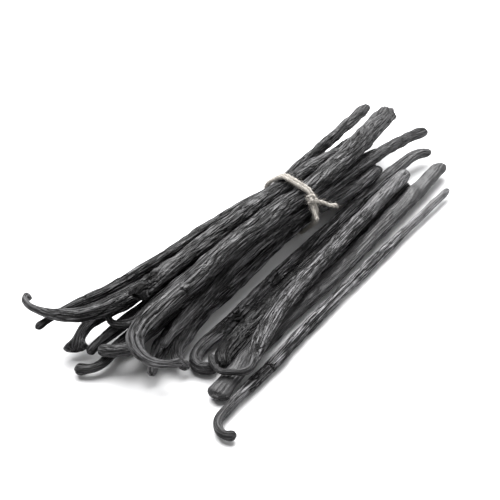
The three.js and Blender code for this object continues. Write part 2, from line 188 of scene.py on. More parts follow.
def along_arcs(points: np.ndarray, arcs: tuple[Arc, ...], step: float) -> np.ndarray:
    """Carries a line that runs to -X on past its end, in arcs.

    Args:
        points: the line so far, shape (K, 3).
        arcs: the arcs; a positive turn goes to -Y and a positive dip goes down, both evenly
            along the arc.
        step: the distance between two points.

    Returns:
        The longer line, shape (K + steps, 3).
    """
    ahead = points[-1] - points[-2]
    heading = np.arctan2(-ahead[1], -ahead[0])
    dip = -np.arctan2(ahead[2], np.hypot(ahead[0], ahead[1]))
    pieces = [points]
    for length, turn, drop in arcs:
        count = round(length / step)
        share = np.arange(1, count + 1) / count
        h = heading + np.radians(turn) * share
        d = dip + np.radians(drop) * share
        moves = np.stack([-np.cos(h) * np.cos(d), -np.sin(h) * np.cos(d), -np.sin(d)], 1)
        pieces.append(pieces[-1][-1] + np.cumsum(moves * (length / count), axis=0))
        heading, dip = h[-1], d[-1]
    return np.vstack(pieces)


def evenly(points: np.ndarray, count: int) -> tuple[np.ndarray, float]:
    """The line as count evenly spaced points, and its length."""
    run = np.concatenate([[0.0], np.cumsum(np.linalg.norm(np.diff(points, axis=0), axis=1))])
    places = np.linspace(0.0, run[-1], count)
    return np.stack([np.interp(places, run, points[:, k]) for k in range(3)], 1), float(run[-1])


def refine(stations: np.ndarray, share: np.ndarray) -> np.ndarray:
    """Points of the uniform Catmull-Rom curve through evenly spaced stations.

    Args:
        stations: the points it passes through, shape (M, 3).
        share: places on it, from 0 at the first station to 1 at the last, shape (N,).

    Returns:
        The points, shape (N, 3).
    """
    p = np.vstack([2 * stations[0] - stations[1], stations, 2 * stations[-1] - stations[-2]])
    u = np.clip(share, 0.0, 1.0) * (len(stations) - 1)
    k = np.minimum(u.astype(int), len(stations) - 2)
    t = (u - k)[:, None]
    p0, p1, p2, p3 = p[k], p[k + 1], p[k + 2], p[k + 3]
    return 0.5 * (
        2 * p1
        + (p2 - p0) * t
        + (2 * p0 - 5 * p1 + 4 * p2 - p3) * t**2
        + (3 * p1 - p0 - 3 * p2 + p3) * t**3
    )


def sides_of(tangent: np.ndarray, roll: np.ndarray) -> tuple[np.ndarray, np.ndarray]:
    """A section's wide and thin directions: level and square to the tangent, then rolled."""
    level = unit(np.cross(UP, tangent))
    over = np.cross(tangent, level)
    c, s = np.cos(roll)[..., None], np.sin(roll)[..., None]
    return c * level + s * over, c * over - s * level


def square_to(tangent: np.ndarray) -> tuple[np.ndarray, np.ndarray]:
    """Two directions square to each tangent of a strand and to each other."""
    side = unit(np.cross(tangent, ASLANT))
    return side, np.cross(tangent, side)


def reach(half: np.ndarray, wide: np.ndarray, thin: np.ndarray, way: np.ndarray) -> np.ndarray:
    """How far oval sections reach along unit directions: the oval's support function."""
    return np.hypot(half[..., 0] * dot(way, wide), half[..., 1] * dot(way, thin))


# ---------------------------------------------------------------- meshes

@dataclass
class Surface:
    """A mesh in the making: points in the layout, faces, and values at each point."""

    points: np.ndarray
    quads: np.ndarray
    triangles: np.ndarray = field(default_factory=lambda: np.zeros((0, 3), int))
    vectors: dict[str, np.ndarray] = field(default_factory=dict)
    values: dict[str, np.ndarray] = field(default_factory=dict)

    @staticmethod
    def join(parts: list[Surface]) -> Surface:
        """All the parts as one surface, each part's faces renumbered past the ones before."""
        starts = np.cumsum([0] + [len(part.points) for part in parts[:-1]])
        return Surface(
            np.vstack([part.points for part in parts]),
            np.vstack([part.quads + start for part, start in zip(parts, starts)]),
            np.vstack([part.triangles + start for part, start in zip(parts, starts)]),
            {k: np.vstack([part.vectors[k] for part in parts]) for k in parts[0].vectors},
            {k: np.concatenate([part.values[k] for part in parts]) for k in parts[0].values},
        )

    def to_object(self, name: str, material: Material) -> Object:
        """Makes the Blender object, in metres in the frame, smooth and with one material.

        Args:
            name: the object's name.
            material: its finish.

        Returns:
            The new object, in the scene's collection.
        """
        mesh = bpy.data.meshes.new(name)
        mesh.vertices.add(len(self.points))
        place = (self.points + FRAME_SHIFT) * MM
        mesh.vertices.foreach_set("co", place.astype(np.float32).ravel())
        corners = np.concatenate([self.quads.ravel(), self.triangles.ravel()])
        sizes = np.repeat([4, 3], [len(self.quads), len(self.triangles)])
        mesh.loops.add(len(corners))
        mesh.loops.foreach_set("vertex_index", corners.astype(np.int32))
        mesh.polygons.add(len(sizes))
        mesh.polygons.foreach_set("loop_start", (np.cumsum(sizes) - sizes).astype(np.int32))
        mesh.polygons.foreach_set("use_smooth", np.ones(len(sizes), bool))
        for key, rows in self.vectors.items():
            layer = mesh.attributes.new(key, "FLOAT_VECTOR", "POINT")
            layer.data.foreach_set("vector", rows.astype(np.float32).ravel())
        for key, row in self.values.items():
            layer = mesh.attributes.new(key, "FLOAT", "POINT")
            layer.data.foreach_set("value", row.astype(np.float32))
        mesh.update(calc_edges=True)
        mesh.validate()
        mesh.materials.append(material)
        piece = bpy.data.objects.new(name, mesh)
        bpy.context.scene.collection.objects.link(piece)
        return piece


def sleeve(
    rings: np.ndarray, start: np.ndarray, end: np.ndarray
) -> tuple[np.ndarray, np.ndarray, np.ndarray]:
    """A closed skin over rings of points, with a fan from a pole over each end.

    Args:
        rings: shape (N, T, 3), each ring running the same way round.
        start: the pole before the first ring.
        end: the pole after the last.

    Returns:
        The points, the quads between rings and the triangles of the fans.
    """
    count, round_ = rings.shape[:2]
    k = np.arange(round_)
    beside = (k + 1) % round_
    row = np.arange(count - 1)[:, None] * round_
    quads = np.stack([row + k, row + beside, row + beside + round_, row + k + round_], -1)
    last = (count - 1) * round_
    first_pole = count * round_
    fans = np.concatenate(
        [
            np.stack([np.full(round_, first_pole), beside, k], 1),
            np.stack([np.full(round_, first_pole + 1), last + k, last + beside], 1),
        ]
    )
    points = np.vstack([rings.reshape(-1, 3), start, end])
    return points, quads.reshape(-1, 4), fans


# ---------------------------------------------------------------- shading

class Shading:
    """Adds nodes to one material or node group and joins them."""

    def __init__(self, tree: NodeTree) -> None:
        """Works on tree."""
        self.tree = tree

    def node(
        self,
        kind: str,
        settings: dict[str, object] | None = None,
        inputs: dict[str | int, object] | None = None,
    ) -> Node:
        """Adds a node.

        Args:
            kind: the node's type name.
            settings: attributes of the node itself.
            inputs: for each input socket, a plain value or the output socket that feeds it.

        Returns:
            The node.
        """
        made = self.tree.nodes.new(kind)
        for key, value in (settings or {}).items():
            setattr(made, key, value)
        self.feed(made, inputs or {})
        return made

    def feed(self, node: Node, inputs: dict[str | int, object]) -> None:
        """Gives each named input of a node its plain value or the socket that feeds it."""
        for key, value in inputs.items():
            if isinstance(value, NodeSocket):
                self.tree.links.new(value, node.inputs[key])
            else:
                node.inputs[key].default_value = value

    def maths(self, operation: str, a: object, b: object = 0.0) -> NodeSocket:
        """The result of one sum on two values, each a socket or a number."""
        return self.node("ShaderNodeMath", {"operation": operation}, {0: a, 1: b}).outputs[0]

    def between(
        self, value: NodeSocket, low: float, high: float, to_low: float, to_high: float
    ) -> NodeSocket:
        """Maps low..high of a value to to_low..to_high, clamped."""
        limits = {"From Min": low, "From Max": high, "To Min": to_low, "To Max": to_high}
        inputs = {"Value": value, **limits}
        return self.node("ShaderNodeMapRange", {"clamp": True}, inputs).outputs[0]

    def blend(self, share: object, a: object, b: object, stop: bool = True) -> NodeSocket:
        """Goes from colour a to colour b as share goes from 0 to 1, and with stop no further."""
        settings = {"data_type": "RGBA", "clamp_factor": stop}
        made = self.node("ShaderNodeMix", settings, {0: share, 6: a, 7: b})
        return made.outputs[2]

    def bump(self, height: NodeSocket, depth: float, over: NodeSocket | None = None) -> NodeSocket:
        """A bump of that depth in metres, on top of the normal given."""
        inputs = {"Height": height, "Distance": depth, "Strength": 1.0}
        if over is not None:
            inputs["Normal"] = over
        return self.node("ShaderNodeBump", None, inputs).outputs["Normal"]


def new_group(name: str, numbers: dict[str, float]) -> tuple[NodeTree, Shading, Node]:
    """Starts a shader node group that takes a Place and some numbers and gives a Mask.

    Args:
        name: the group's name.
        numbers: its number inputs, with their usual values.

    Returns:
        The group, what adds nodes to it, and its input node.
    """
    tree = bpy.data.node_groups.new(name, "ShaderNodeTree")
    tree.interface.new_socket("Place", in_out="INPUT", socket_type="NodeSocketVector")
    for key, value in numbers.items():
        socket = tree.interface.new_socket(key, in_out="INPUT", socket_type="NodeSocketFloat")
        socket.default_value = value
    tree.interface.new_socket("Mask", in_out="OUTPUT", socket_type="NodeSocketFloat")
    shading = Shading(tree)
    return tree, shading, shading.node("NodeGroupInput")


def streaks_group() -> NodeTree:
    """The node group for fine lines that run along a piece.

    Place is where a point lies on the straightened piece, in millimetres, with Z along it. The
    mask comes from smooth noise whose cells are Width wide and Length long: 0 on the lines where
    the noise crosses its middle, rising to 1 between them.
    """
    tree, shading, given = new_group("streaks", {"Width": 0.5, "Length": 8.0, "Detail": 2.0})
    out = given.outputs
    across = shading.maths("DIVIDE", 1.0, out["Width"])
    along = shading.maths("DIVIDE", 1.0, out["Length"])
    scale = shading.node("ShaderNodeCombineXYZ", None, {0: across, 1: across, 2: along}).outputs[0]
    place = shading.node(
        "ShaderNodeVectorMath", {"operation": "MULTIPLY"}, {0: out["Place"], 1: scale}
    ).outputs[0]
    noise = shading.node(
        "ShaderNodeTexNoise",
        {"noise_dimensions": "3D"},
        {"Vector": place, "Scale": 1.0, "Detail": out["Detail"], "Roughness": 0.55},
    ).outputs[0]
    far = shading.maths("ABSOLUTE", shading.maths("SUBTRACT", noise, 0.5))
    off_line = 0.16  # how far from its middle the noise is where a line has ended
    mask = shading.between(far, 0.0, off_line, 0.0, 1.0)
    shading.node("NodeGroupOutput", None, {"Mask": mask})
    return tree


def blotches_group() -> NodeTree:
    """The node group for soft blotches or fine grain.

    Place is in millimetres. The mask is plain noise with blotches Size across, stretched from
    0 to 1 with most of it in the middle.
    """
    tree, shading, given = new_group("blotches", {"Size": 4.0, "Detail": 3.0})
    out = given.outputs
    scale = shading.maths("DIVIDE", 1.0, out["Size"])
    noise = shading.node(
        "ShaderNodeTexNoise",
        {"noise_dimensions": "3D"},
        {"Vector": out["Place"], "Scale": scale, "Detail": out["Detail"], "Roughness": 0.6},
    ).outputs[0]
    low, high = 0.3, 0.7  # where most of the noise lies
    mask = shading.between(noise, low, high, 0.0, 1.0)
    shading.node("NodeGroupOutput", None, {"Mask": mask})
    return tree


@dataclass
class Effects:
    """The node groups that the finishes share."""

    streaks: NodeTree = field(default_factory=streaks_group)
    blotches: NodeTree = field(default_factory=blotches_group)

    @staticmethod
    def add(shading: Shading, group: NodeTree, place: NodeSocket, **numbers: float) -> NodeSocket:
        """Places a group in a material with its own numbers and returns its mask."""
        inputs = {"Place": place, **numbers}
        return shading.node("ShaderNodeGroup", {"node_tree": group}, inputs).outputs["Mask"]


def attribute(shading: Shading, name: str, output: str) -> NodeSocket:
    """A value kept at the points of the mesh."""
    return shading.node("ShaderNodeAttribute", {"attribute_name": name}).outputs[output]


def new_finish(name: str) -> tuple[Material, Shading, Node]:
    """A new material with only a Principled shader and its output."""
    material = bpy.data.materials.new(name)
    material.use_nodes = True
    shading = Shading(material.node_tree)
    return material, shading, material.node_tree.nodes["Principled BSDF"]


@dataclass(frozen=True)
class PodFinish:
    """Oily, near-black cured skin: satin on its ridges, duller in its cracks, with painted shade in
    its cracks and fine lines.

    Attributes:
        ridge: the colour of the skin between its fine lines.
        hollow: its colour in them, a painted shade of the grooves; the blotches darken towards it
            too.
        crack: its colour in the cracks, a painted shade.
        patchy: how much darker its blotches are, as a share.
        coarse_share: the share that the coarser lines have in the lines' height.
        plain: the height of skin without lines, where their height goes from 0 to 1.
        lows: up to which height the skin has the colour of a hollow.
        highs: from which height it has the colour of a ridge.
        line_depth: how deep the lines are, in millimetres.
        grain_depth: how deep the grain is, in millimetres.
        smoothest: the roughness of its smoothest blotches.
        roughest: the roughness of the others.
        crack_roughness: the roughness in a crack.
        gloss: the specular level of the skin under the oil.
        oil: how much oil is on the ridges.
        oil_roughness: the roughness of the oil.
        dry: the value of the crack mask, which paints shade, at which the oil ends.
    """

    ridge: Colour = (0.115, 0.113, 0.117, 1.0)
    hollow: Colour = (0.003, 0.0028, 0.003, 1.0)
    crack: Colour = (0.002, 0.0018, 0.0018, 1.0)
    patchy: float = 0.35
    coarse_share: float = 0.65
    plain: float = 0.65
    lows: float = 0.3
    highs: float = 0.9
    line_depth: float = 0.9
    grain_depth: float = 0.03
    smoothest: float = 0.30
    roughest: float = 0.5
    crack_roughness: float = 0.85
    gloss: float = 0.12
    oil: float = 0.35
    oil_roughness: float = 0.35
    dry: float = 0.6

    def material(self, name: str, effects: Effects) -> Material:
        """Builds the material. It reads the attributes straight, crack, shade and lined; crack
        paints shade into the cracks.
        """
        material, shading, shader = new_finish(name)
        place = attribute(shading, "straight", "Vector")
        crack = attribute(shading, "crack", "Fac")
        shade = attribute(shading, "shade", "Fac")
        lined = attribute(shading, "lined", "Fac")
        coarse = effects.add(shading, effects.streaks, place, Width=1.2, Length=24.0, Detail=1.0)
        fine = effects.add(shading, effects.streaks, place, Width=0.6, Length=12.0, Detail=1.0)
        patch = effects.add(shading, effects.blotches, place, Size=5.0, Detail=4.0)
        grain = effects.add(shading, effects.blotches, place, Size=0.2, Detail=2.0)
        coarse = shading.maths("MULTIPLY", coarse, self.coarse_share)
        fine = shading.maths("MULTIPLY", fine, 1 - self.coarse_share)
        height = shading.maths("ADD", coarse, fine)
        above = shading.maths("MULTIPLY", shading.maths("SUBTRACT", height, self.plain), lined)
        height = shading.maths("ADD", above, self.plain)
        # Painted shade in the fine lines: their low parts take the hollow colour, their high parts
        # the ridge colour.
        tone = shading.between(height, self.lows, self.highs, 0.0, 1.0)
        # The shade attribute lightens each pod: partly its own tone, partly painted light and
        # shade.
        lit = shading.maths("MULTIPLY", tone, shade)
        base = shading.blend(lit, self.hollow, self.ridge, stop=False)
        base = shading.blend(shading.maths("MULTIPLY", patch, self.patchy), base, self.hollow)
        # Painted shade: the cracks are darkened towards the crack colour.
        base = shading.blend(crack, base, self.crack)
        rough = shading.between(patch, 0.0, 1.0, self.smoothest, self.roughest)
        more = shading.maths("MULTIPLY", crack, self.crack_roughness - self.roughest)
        rough = shading.maths("ADD", rough, more)
        normal = shading.bump(height, self.line_depth * MM)
        normal = shading.bump(grain, self.grain_depth * MM, normal)
        oil = shading.maths("MULTIPLY", tone, shading.between(crack, 0.0, self.dry, self.oil, 0.0))
        shading.feed(shader, {
            "Base Color": base,
            "Roughness": rough,
            "Normal": normal,
            "Specular IOR Level": self.gloss,
            "Coat Weight": oil,
            "Coat Roughness": self.oil_roughness,
        })
        return material


@dataclass(frozen=True)
class TwineFinish:
    """Pale, matt plant fibre, with a warmer, darker painted shade between its plies and its fibres.

    Attributes:
        lit: the colour of clean fibre.
        worn: the colour of its worn blotches, and of the painted shade in the gaps between fibres.
        deep: the colour of the painted shade between the plies.
        worn_share: how much of the worn colour the blotches have.
        gap_shade_share: how much of it the gaps between fibres get, as painted shade.
        fibre_depth: how deep the gaps are, in millimetres.
        roughness: the roughness.
        gloss: the specular level.
        fluff: the sheen of the finest fibres.
        fluff_roughness: the roughness of that sheen.
    """

    lit: Colour = (0.41, 0.39, 0.36, 1.0)
    worn: Colour = (0.26, 0.23, 0.195, 1.0)
    deep: Colour = (0.12, 0.10, 0.08, 1.0)
    worn_share: float = 0.5
    gap_shade_share: float = 0.35
    fibre_depth: float = 0.05
    roughness: float = 0.9
    gloss: float = 0.25
    fluff: float = 0.35
    fluff_roughness: float = 0.5

    def material(self, name: str, effects: Effects) -> Material:
        """Builds the material. It reads the attributes straight and crack; crack paints shade
        between the plies.
        """
        material, shading, shader = new_finish(name)
        place = attribute(shading, "straight", "Vector")
        crack = attribute(shading, "crack", "Fac")
        fibres = effects.add(shading, effects.streaks, place, Width=0.14, Length=2.2, Detail=3.0)
        patch = effects.add(shading, effects.blotches, place, Size=1.6, Detail=3.0)
        worn = shading.maths("MULTIPLY", patch, self.worn_share)
        base = shading.blend(worn, self.lit, self.worn)
        # Painted shade in the gaps between the fibres.
        fibre_gap_shade = shading.between(fibres, 0.0, 1.0, self.gap_shade_share, 0.0)
        base = shading.blend(fibre_gap_shade, base, self.worn)
        # Painted shade between the plies.
        base = shading.blend(crack, base, self.deep)
        shading.feed(shader, {
            "Base Color": base,
            "Roughness": self.roughness,
            "Normal": shading.bump(fibres, self.fibre_depth * MM),
            "Specular IOR Level": self.gloss,
            "Sheen Weight": self.fluff,
            "Sheen Roughness": self.fluff_roughness,
        })
        return material


@dataclass(frozen=True)
class FloorFinish:
    """The plain pale floor."""

    colour: Colour = (0.60, 0.60, 0.605, 1.0)
    roughness: float = 0.9
    gloss: float = 0.1

    def material(self, name: str) -> Material:
        """Builds the material."""
        material, shading, shader = new_finish(name)
        shading.feed(shader, {
            "Base Color": self.colour,
            "Roughness": self.roughness,
            "Specular IOR Level": self.gloss,
        })
        return material


# ---------------------------------------------------------------- pods

class StalkEnd(Enum):
    """How a pod's stalk ends: the face of its tip, as (share of the width, how far out in mm)."""

    SCAR = ((0.96, 0.08), (0.86, 0.14), (0.70, 0.08), (0.45, -0.10), (0.2, -0.2))
    ROUND = ((0.97, 0.16), (0.88, 0.38), (0.70, 0.6), (0.45, 0.76), (0.2, 0.84))
    OPEN = (
        (1.0, 0.18), (0.93, 0.25), (0.84, -0.1), (0.80, -0.9), (0.74, -2.0), (0.6, -3.0),
        (0.3, -3.5),
    )


BLOSSOM_FACE_CURVE = ((0.95, 0.14), (0.84, 0.3), (0.66, 0.36), (0.42, 0.28), (0.2, 0.18))


@dataclass(frozen=True)
class Pucker:
    """A place where the skin is bunched up.

    Attributes:
        share: where it is along the pod, from the blossom end.
        angle: where it is round the pod, in degrees from the section's wide side.
        along: how far it reaches along the pod, in millimetres.
        around: how far it reaches round it, in millimetres.
        depth: how deep its cracks are, in millimetres.
        dark: how much painted shade the skin gets in its middle, between the cracks.
    """

    share: float
    angle: float
    along: float
    around: float
    depth: float
    dark: float = 0.5


@dataclass(frozen=True)
class Crease:
    """A single bent crack across the skin, where the pod once folded.

    Attributes:
        share: where its bend is along the pod, from the blossom end.
        angle: where its bend is round the pod, in degrees.
        rake: how far it runs back along the pod for each millimetre round it.
        around: how far it reaches round the pod, in millimetres.
        depth: how deep it is, in millimetres.
    """

    share: float
    angle: float
    rake: float
    around: float
    depth: float


@dataclass(frozen=True)
class Pod:
    """One pod. The names and numbers are those of its solid.

    Attributes:
        node: the solid that it stands for.
        width: the wider side of the flattened body.
        thick: its other side.
        roll: how far the body is turned about its length, in degrees.
        tied: whether the twine holds it.
        neck: the length of the thin stalk.
        tip: its width.
        way: the body's way points, from the blossom end past the tie to where the stalk begins.
        curl: the stalk's arcs.
        swell: where along the pod it is wider, and by how much.
        slim: the width of a slim blossom end.
        stub: the share of the width that a stub at the blossom end has.
        flare: how much wider the stalk's face opens, as a share, and over what length.
        wrinkled: how deep its cracks are against the others'.
        shade: how light its skin is: partly its own tone, partly painted light and shade, lighter
            on pods that lie open to the light and darker on pods that others shade.
        stalk: how much lighter its stalk is: partly its own tone, partly painted light and shade on
            the hook.
        lined: how strong the fine lines on its skin are.
        lean: how fast its ridges wind round it, in radians a millimetre.
        end: how its stalk ends.
        puckers: the places where it is bunched up.
        creases: its single bent cracks.
        fine: the number of points round it; a pod that is mostly hidden has fewer.
    """

    node: str
    width: float
    thick: float
    roll: float
    tied: bool
    neck: float
    tip: float
    way: tuple[Point, ...]
    curl: tuple[Arc, ...]
    swell: tuple[float, float] | None = None
    slim: float | None = None
    stub: float | None = None
    flare: tuple[float, float] = (0.0, 1.0)
    wrinkled: float = 1.0
    shade: float = 0.55
    stalk: float = 0.0
    lined: float = 1.0
    lean: float = 0.012
    end: StalkEnd = StalkEnd.SCAR
    puckers: tuple[Pucker, ...] = ()
    creases: tuple[Crease, ...] = ()
    fine: int = USUAL_FINE


PODS = (
    Pod("pod_01", 6.2, 5.0, 20, True, 13, 2.4,
        ((60, 5, 10), (0, 2.2, 15.2), (-50, 5, 15.6), (-80, 7.9, 15.6), (-92.2, 12, 15.6),
         (-98.4, 20.3, 15.5), (-99.8, 28.6, 15.3), (-98.2, 32.6, 15.2)),
        ((1.5, -40, 4), (1.5, -60, 0)), swell=(0.8, 0.2), flare=(0.35, 2.6), stalk=0.8),
    Pod("pod_02", 5.8, 4.6, 35, True, 12, 2.5,
        ((77.5, 15.2, 12), (0, 5.2, 17.4), (-40, 7, 17), (-76.9, 13.2, 14.5), (-89.9, 18.7, 13)),
        ((8, 12, 2), (6, 6, 0)), wrinkled=1.25,
        creases=(Crease(0.817, 70, 0.5, 2.4, 0.6), Crease(0.9, 55, 0.0, 1.5, 0.35))),
    Pod("pod_03", 6.8, 5.0, 10, True, 0, 6.8,
        ((58, 2, 9), (0, 1, 20), (-40, 0.5, 21.6), (-76, 0.6, 21)),
        ((5, 6, 3),), flare=(0.8, 1.6), wrinkled=1.35, end=StalkEnd.OPEN,
        puckers=(Pucker(0.985, 75, 3.5, 5, 1.0, 1.3), Pucker(0.94, 105, 3.0, 4.0, 0.9, 1.1)),
        creases=(Crease(0.93, 120, 1.4, 3.0, 0.5),)),
    Pod("pod_04", 8.4, 5.0, -12, True, 13, 2.9,
        ((80, 8.9, 9.9), (0, -4.2, 18.8), (-42, -8, 22.2), (-82, -7.8, 18.4)),
        ((8, 4, 12), (9, 84, 10), (7, 52, -16), (6, 8, -8)),
        swell=(0.1, 0.12), stub=0.36, stalk=0.9, lean=0.02, fine=96,
        creases=(Crease(0.783, 50, 0.5, 1.8, 0.5), Crease(0.06, 0, 0.3, 2.0, 0.5))),
    Pod("pod_05", 5.0, 3.8, -35, True, 5, 3,
        ((78.6, -11.2, 9), (64, -8.4, 10.2), (0, -7.8, 14.4), (-40, -10.2, 17.2),
         (-78, -12.5, 12.4)),
        ((8, 8, 10),), stalk=0.4),
    Pod("pod_06", 5.8, 4.6, 10, True, 9, 4,
        ((46, 11, 5), (0, 6.6, 12.2), (-50, 8.8, 10), (-74.6, 11.8, 9.2), (-84.2, 15, 8.2)),
        ((4, 16, 6), (4.5, 20, 3), (6.5, 20, 0)), flare=(1.3, 3.5), stalk=0.5, end=StalkEnd.OPEN),
    Pod("pod_07", 5.4, 4.2, 0, True, 7, 3.7,
        ((52, 3, 6), (0, 4.8, 7.2), (-48, 3.3, 11.6), (-66, 4.8, 10.2), (-84, 6.3, 7.6)),
        ((7, -6, 4), (6, 12, 6)), stalk=0.4, fine=64),
    Pod("pod_08", 5.6, 4.4, 0, True, 20, 2.4,
        ((60, -1, 5), (0, -2.6, 14.4), (-50, -1, 14.6), (-81, 0.4, 10.4)),
        ((5, -50, 4), (7, -72, -14), (5, 60, 10), (6, 44, 14)), stalk=-0.1, fine=64),
    Pod("pod_09", 5.8, 4.6, 10, True, 2, 4.6,
        ((50, -8, 4.5), (0, -2.4, 9.4), (-50, -3, 9.8), (-82, -3.6, 8.2)),
        ((6, 8, 2), (3.5, -40, -4), (8.5, -38, -6)), stalk=0.3, fine=64),
    Pod("pod_10", 5.6, 4.4, 0, True, 11, 3.5,
        ((58, 7, 4), (0, 1.6, 4.6), (-50, 1.6, 4.6), (-87, 1.6, 5.4)),
        ((7, 10, 8), (4, -22, 4), (4, -44, 0), (4.4, -12, 0)), fine=64),
    Pod("pod_11", 6.0, 5.0, -5, True, 3, 3.6,
        ((55, -3, 4), (0, -4, 4.9), (-50, -3.4, 3.8), (-76, -6.4, 4), (-86, -10.8, 4.6)),
        ((7.5, 12, 4),), stalk=0.8, fine=64),
    Pod("pod_12", 5.4, 4.4, -20, True, 4, 3.6,
        ((44, -9, 6), (0, -7.2, 9.4), (-45, -8.6, 6.4), (-66, -10.6, 6), (-78, -13.6, 5.2)),
        ((4, 30, 4), (6, 64, 6)), wrinkled=1.3, shade=1.0, stalk=0.4, fine=80),
    Pod("pod_13", 4.7, 4.2, -18, False, 2, 5,
        ((72, -17, 5.8), (63, -14.4, 7), (0, -13.7, 3), (-24, -15, 2.8), (-53.5, -17.9, 2.8),
         (-70.5, -18.4, 2.8)),
        ((4.5, 12, 0), (5, 40, 0), (4.5, 80, 0), (3, 22, 0)),
        swell=(0.86, 0.12), end=StalkEnd.ROUND, shade=0.9, fine=90,
        puckers=(Pucker(0.795, 35, 4.8, 4.0, 0.9, 0.9), Pucker(0.64, 50, 4.0, 3.6, 0.9, 0.9))),
    Pod("pod_14", 7.8, 4.6, -10, False, 2, 6.4,
        ((50, -22, 3), (0, -20.5, 2.6), (-50.9, -23.1, 2.6), (-66, -26.2, 2.6)),
        ((5, 14, 0), (4, 24, 0)), wrinkled=1.35, shade=0.12, fine=80),
    Pod("pod_15", 7.0, 4.8, 15, False, 18, 2.2,
        ((51, -18, 5), (0, -24, 7.4), (-42, -29, 8), (-58.7, -32.8, 7.8), (-73.5, -38.4, 6.8)),
        ((4, -75, 4), (4.5, -14, 0), (3, -22, -6), (3.5, -38, -10), (3, -16, -8)),
        wrinkled=0.8, shade=1.4, stalk=-0.8, lean=0.03, fine=90,
        creases=(Crease(0.8, 118, 2.6, 2.2, 0.7), Crease(0.835, 70, -1.2, 2.0, 0.4))),
    Pod("pod_16", 7.0, 4.8, 0, False, 0, 8.8,
        ((67.4, -24.4, 4), (0, -28.8, 3), (-46.7, -30.5, 2.8), (-66, -31.7, 2.7), (-76, -33, 2.7)),
        ((11, 4, 0),), end=StalkEnd.ROUND, wrinkled=0.35, shade=0.5, lined=0.45),
    Pod("pod_17", 4.4, 4.2, 0, False, 17, 3.3,
        ((55, -35, 3), (0, -36.4, 2.6), (-46.5, -38.5, 2.5), (-66, -40.2, 2.5), (-81, -40.5, 2.4)),
        ((6, 3, 0), (5, 3, 0), (3.5, 26, 0), (3.5, 34, 0), (3, 52, 0), (2, 30, 0)), slim=3.2,
        wrinkled=0.6, shade=2.0, stalk=-1.3,
        puckers=(Pucker(0.82, 60, 4.5, 2.6, 0.45),),
        creases=(Crease(0.765, 70, 0.25, 2.6, 0.9),)),
)


@dataclass(frozen=True)
class Section:
    """How a pod's section changes along it. The numbers are those of the solids.

    Attributes:
        belly: how much narrower the body's ends are than its middle, as a share.
        belly_lean: a power below 1, which moves its widest place towards the blossom end.
        blossom_end: over what length the blossom end rounds off.
        blossom_face: the share of the width that its face has.
        stub_length: the length of a stub at the blossom end.
        stub_shoulder: over what length a stub widens to the body.
        slim_start: how long a slim blossom end is before it widens.
        slim_length: over what length it widens.
        swell_spread: how far a swelling reaches, as a share of the pod's length.
        neck_start: the share of the neck that is as narrow as the stalk.
        neck_growth: how much longer the widening is for each millimetre of the neck.
        neck_least: how long the widening is where there is no neck.
        tip_face: the share of the width that the stalk's face has.
        tip_round: the greatest length over which the stalk's tip rounds off.
        knob_swell: how much wider the knob at a stalk's tip is, as a share.
        knob_place: how far the knob is from the tip.
        knob_length: how far it reaches.
        knob_neck: the length from which a neck ends in a knob.
        squeeze: how much smaller the twine makes a tied pod, as a share.
        squeeze_length: how far along the bundle from the tie that is felt.
    """

    belly: float = 0.1
    belly_lean: float = 0.9
    blossom_end: float = 5.0
    blossom_face: float = 0.45
    stub_length: float = 2.4
    stub_shoulder: float = 2.6
    slim_start: float = 20.0
    slim_length: float = 40.0
    swell_spread: float = 0.12
    neck_start: float = 0.55
    neck_growth: float = 0.9
    neck_least: float = 8.0
    tip_face: float = 0.4
    tip_round: float = 2.0
    knob_swell: float = 0.16
    knob_place: float = 1.6
    knob_length: float = 1.3
    knob_neck: float = 8.0
    squeeze: float = 0.14
    squeeze_length: float = 14.0

    def half(self, pod: Pod, s: np.ndarray, length: float) -> np.ndarray:
        """Half the width and half the thickness of a pod.

        The body swells a little to its middle, rounds off to a blunt blossom end, and narrows
        over the neck to the stalk, whose tip rounds off too.

        Args:
            pod: the pod.
            s: distances from the blossom end, shape (N,).
            length: the pod's length.

        Returns:
            The two halves, shape (N, 2).
        """
        body = 1 - self.belly + self.belly * np.sin(np.pi * (s / length) ** self.belly_lean)
        body = body * mix(self.blossom_face, 1.0, round_off(s / self.blossom_end))
        if pod.stub:
            body = body * mix(pod.stub, 1.0, smooth((s - self.stub_length) / self.stub_shoulder))
        if pod.slim:
            wider = smooth((s - self.slim_start) / self.slim_length)
            body = body * mix(pod.slim / pod.width, 1.0, wider)
        if pod.swell:
            place, more = pod.swell
            body = body * (1 + more * bell((s / length - place) / self.swell_spread))
        left = length - s
        widening = pod.neck * self.neck_growth + self.neck_least
        full = smooth((left - pod.neck * self.neck_start) / widening)
        end = mix(self.tip_face, 1.0, round_off(left / min(self.tip_round, pod.tip / 2)))
        if pod.neck >= self.knob_neck:
            end = end * (1 + self.knob_swell * bell((left - self.knob_place) / self.knob_length))
        wider, over = pod.flare
        width = mix(pod.tip, pod.width, full) * (1 + wider * bell(left / over))
        thick = mix(min(pod.tip, pod.thick), pod.thick, full)
        return np.stack([width, thick], 1) * (body * end)[:, None] / 2

    def squeezed(self, pod: Pod, x: np.ndarray) -> np.ndarray:
        """The share of its size that the twine leaves a pod at x, shape (N, 1)."""
        return (1 - self.squeeze * bell(x / self.squeeze_length) * pod.tied)[:, None]


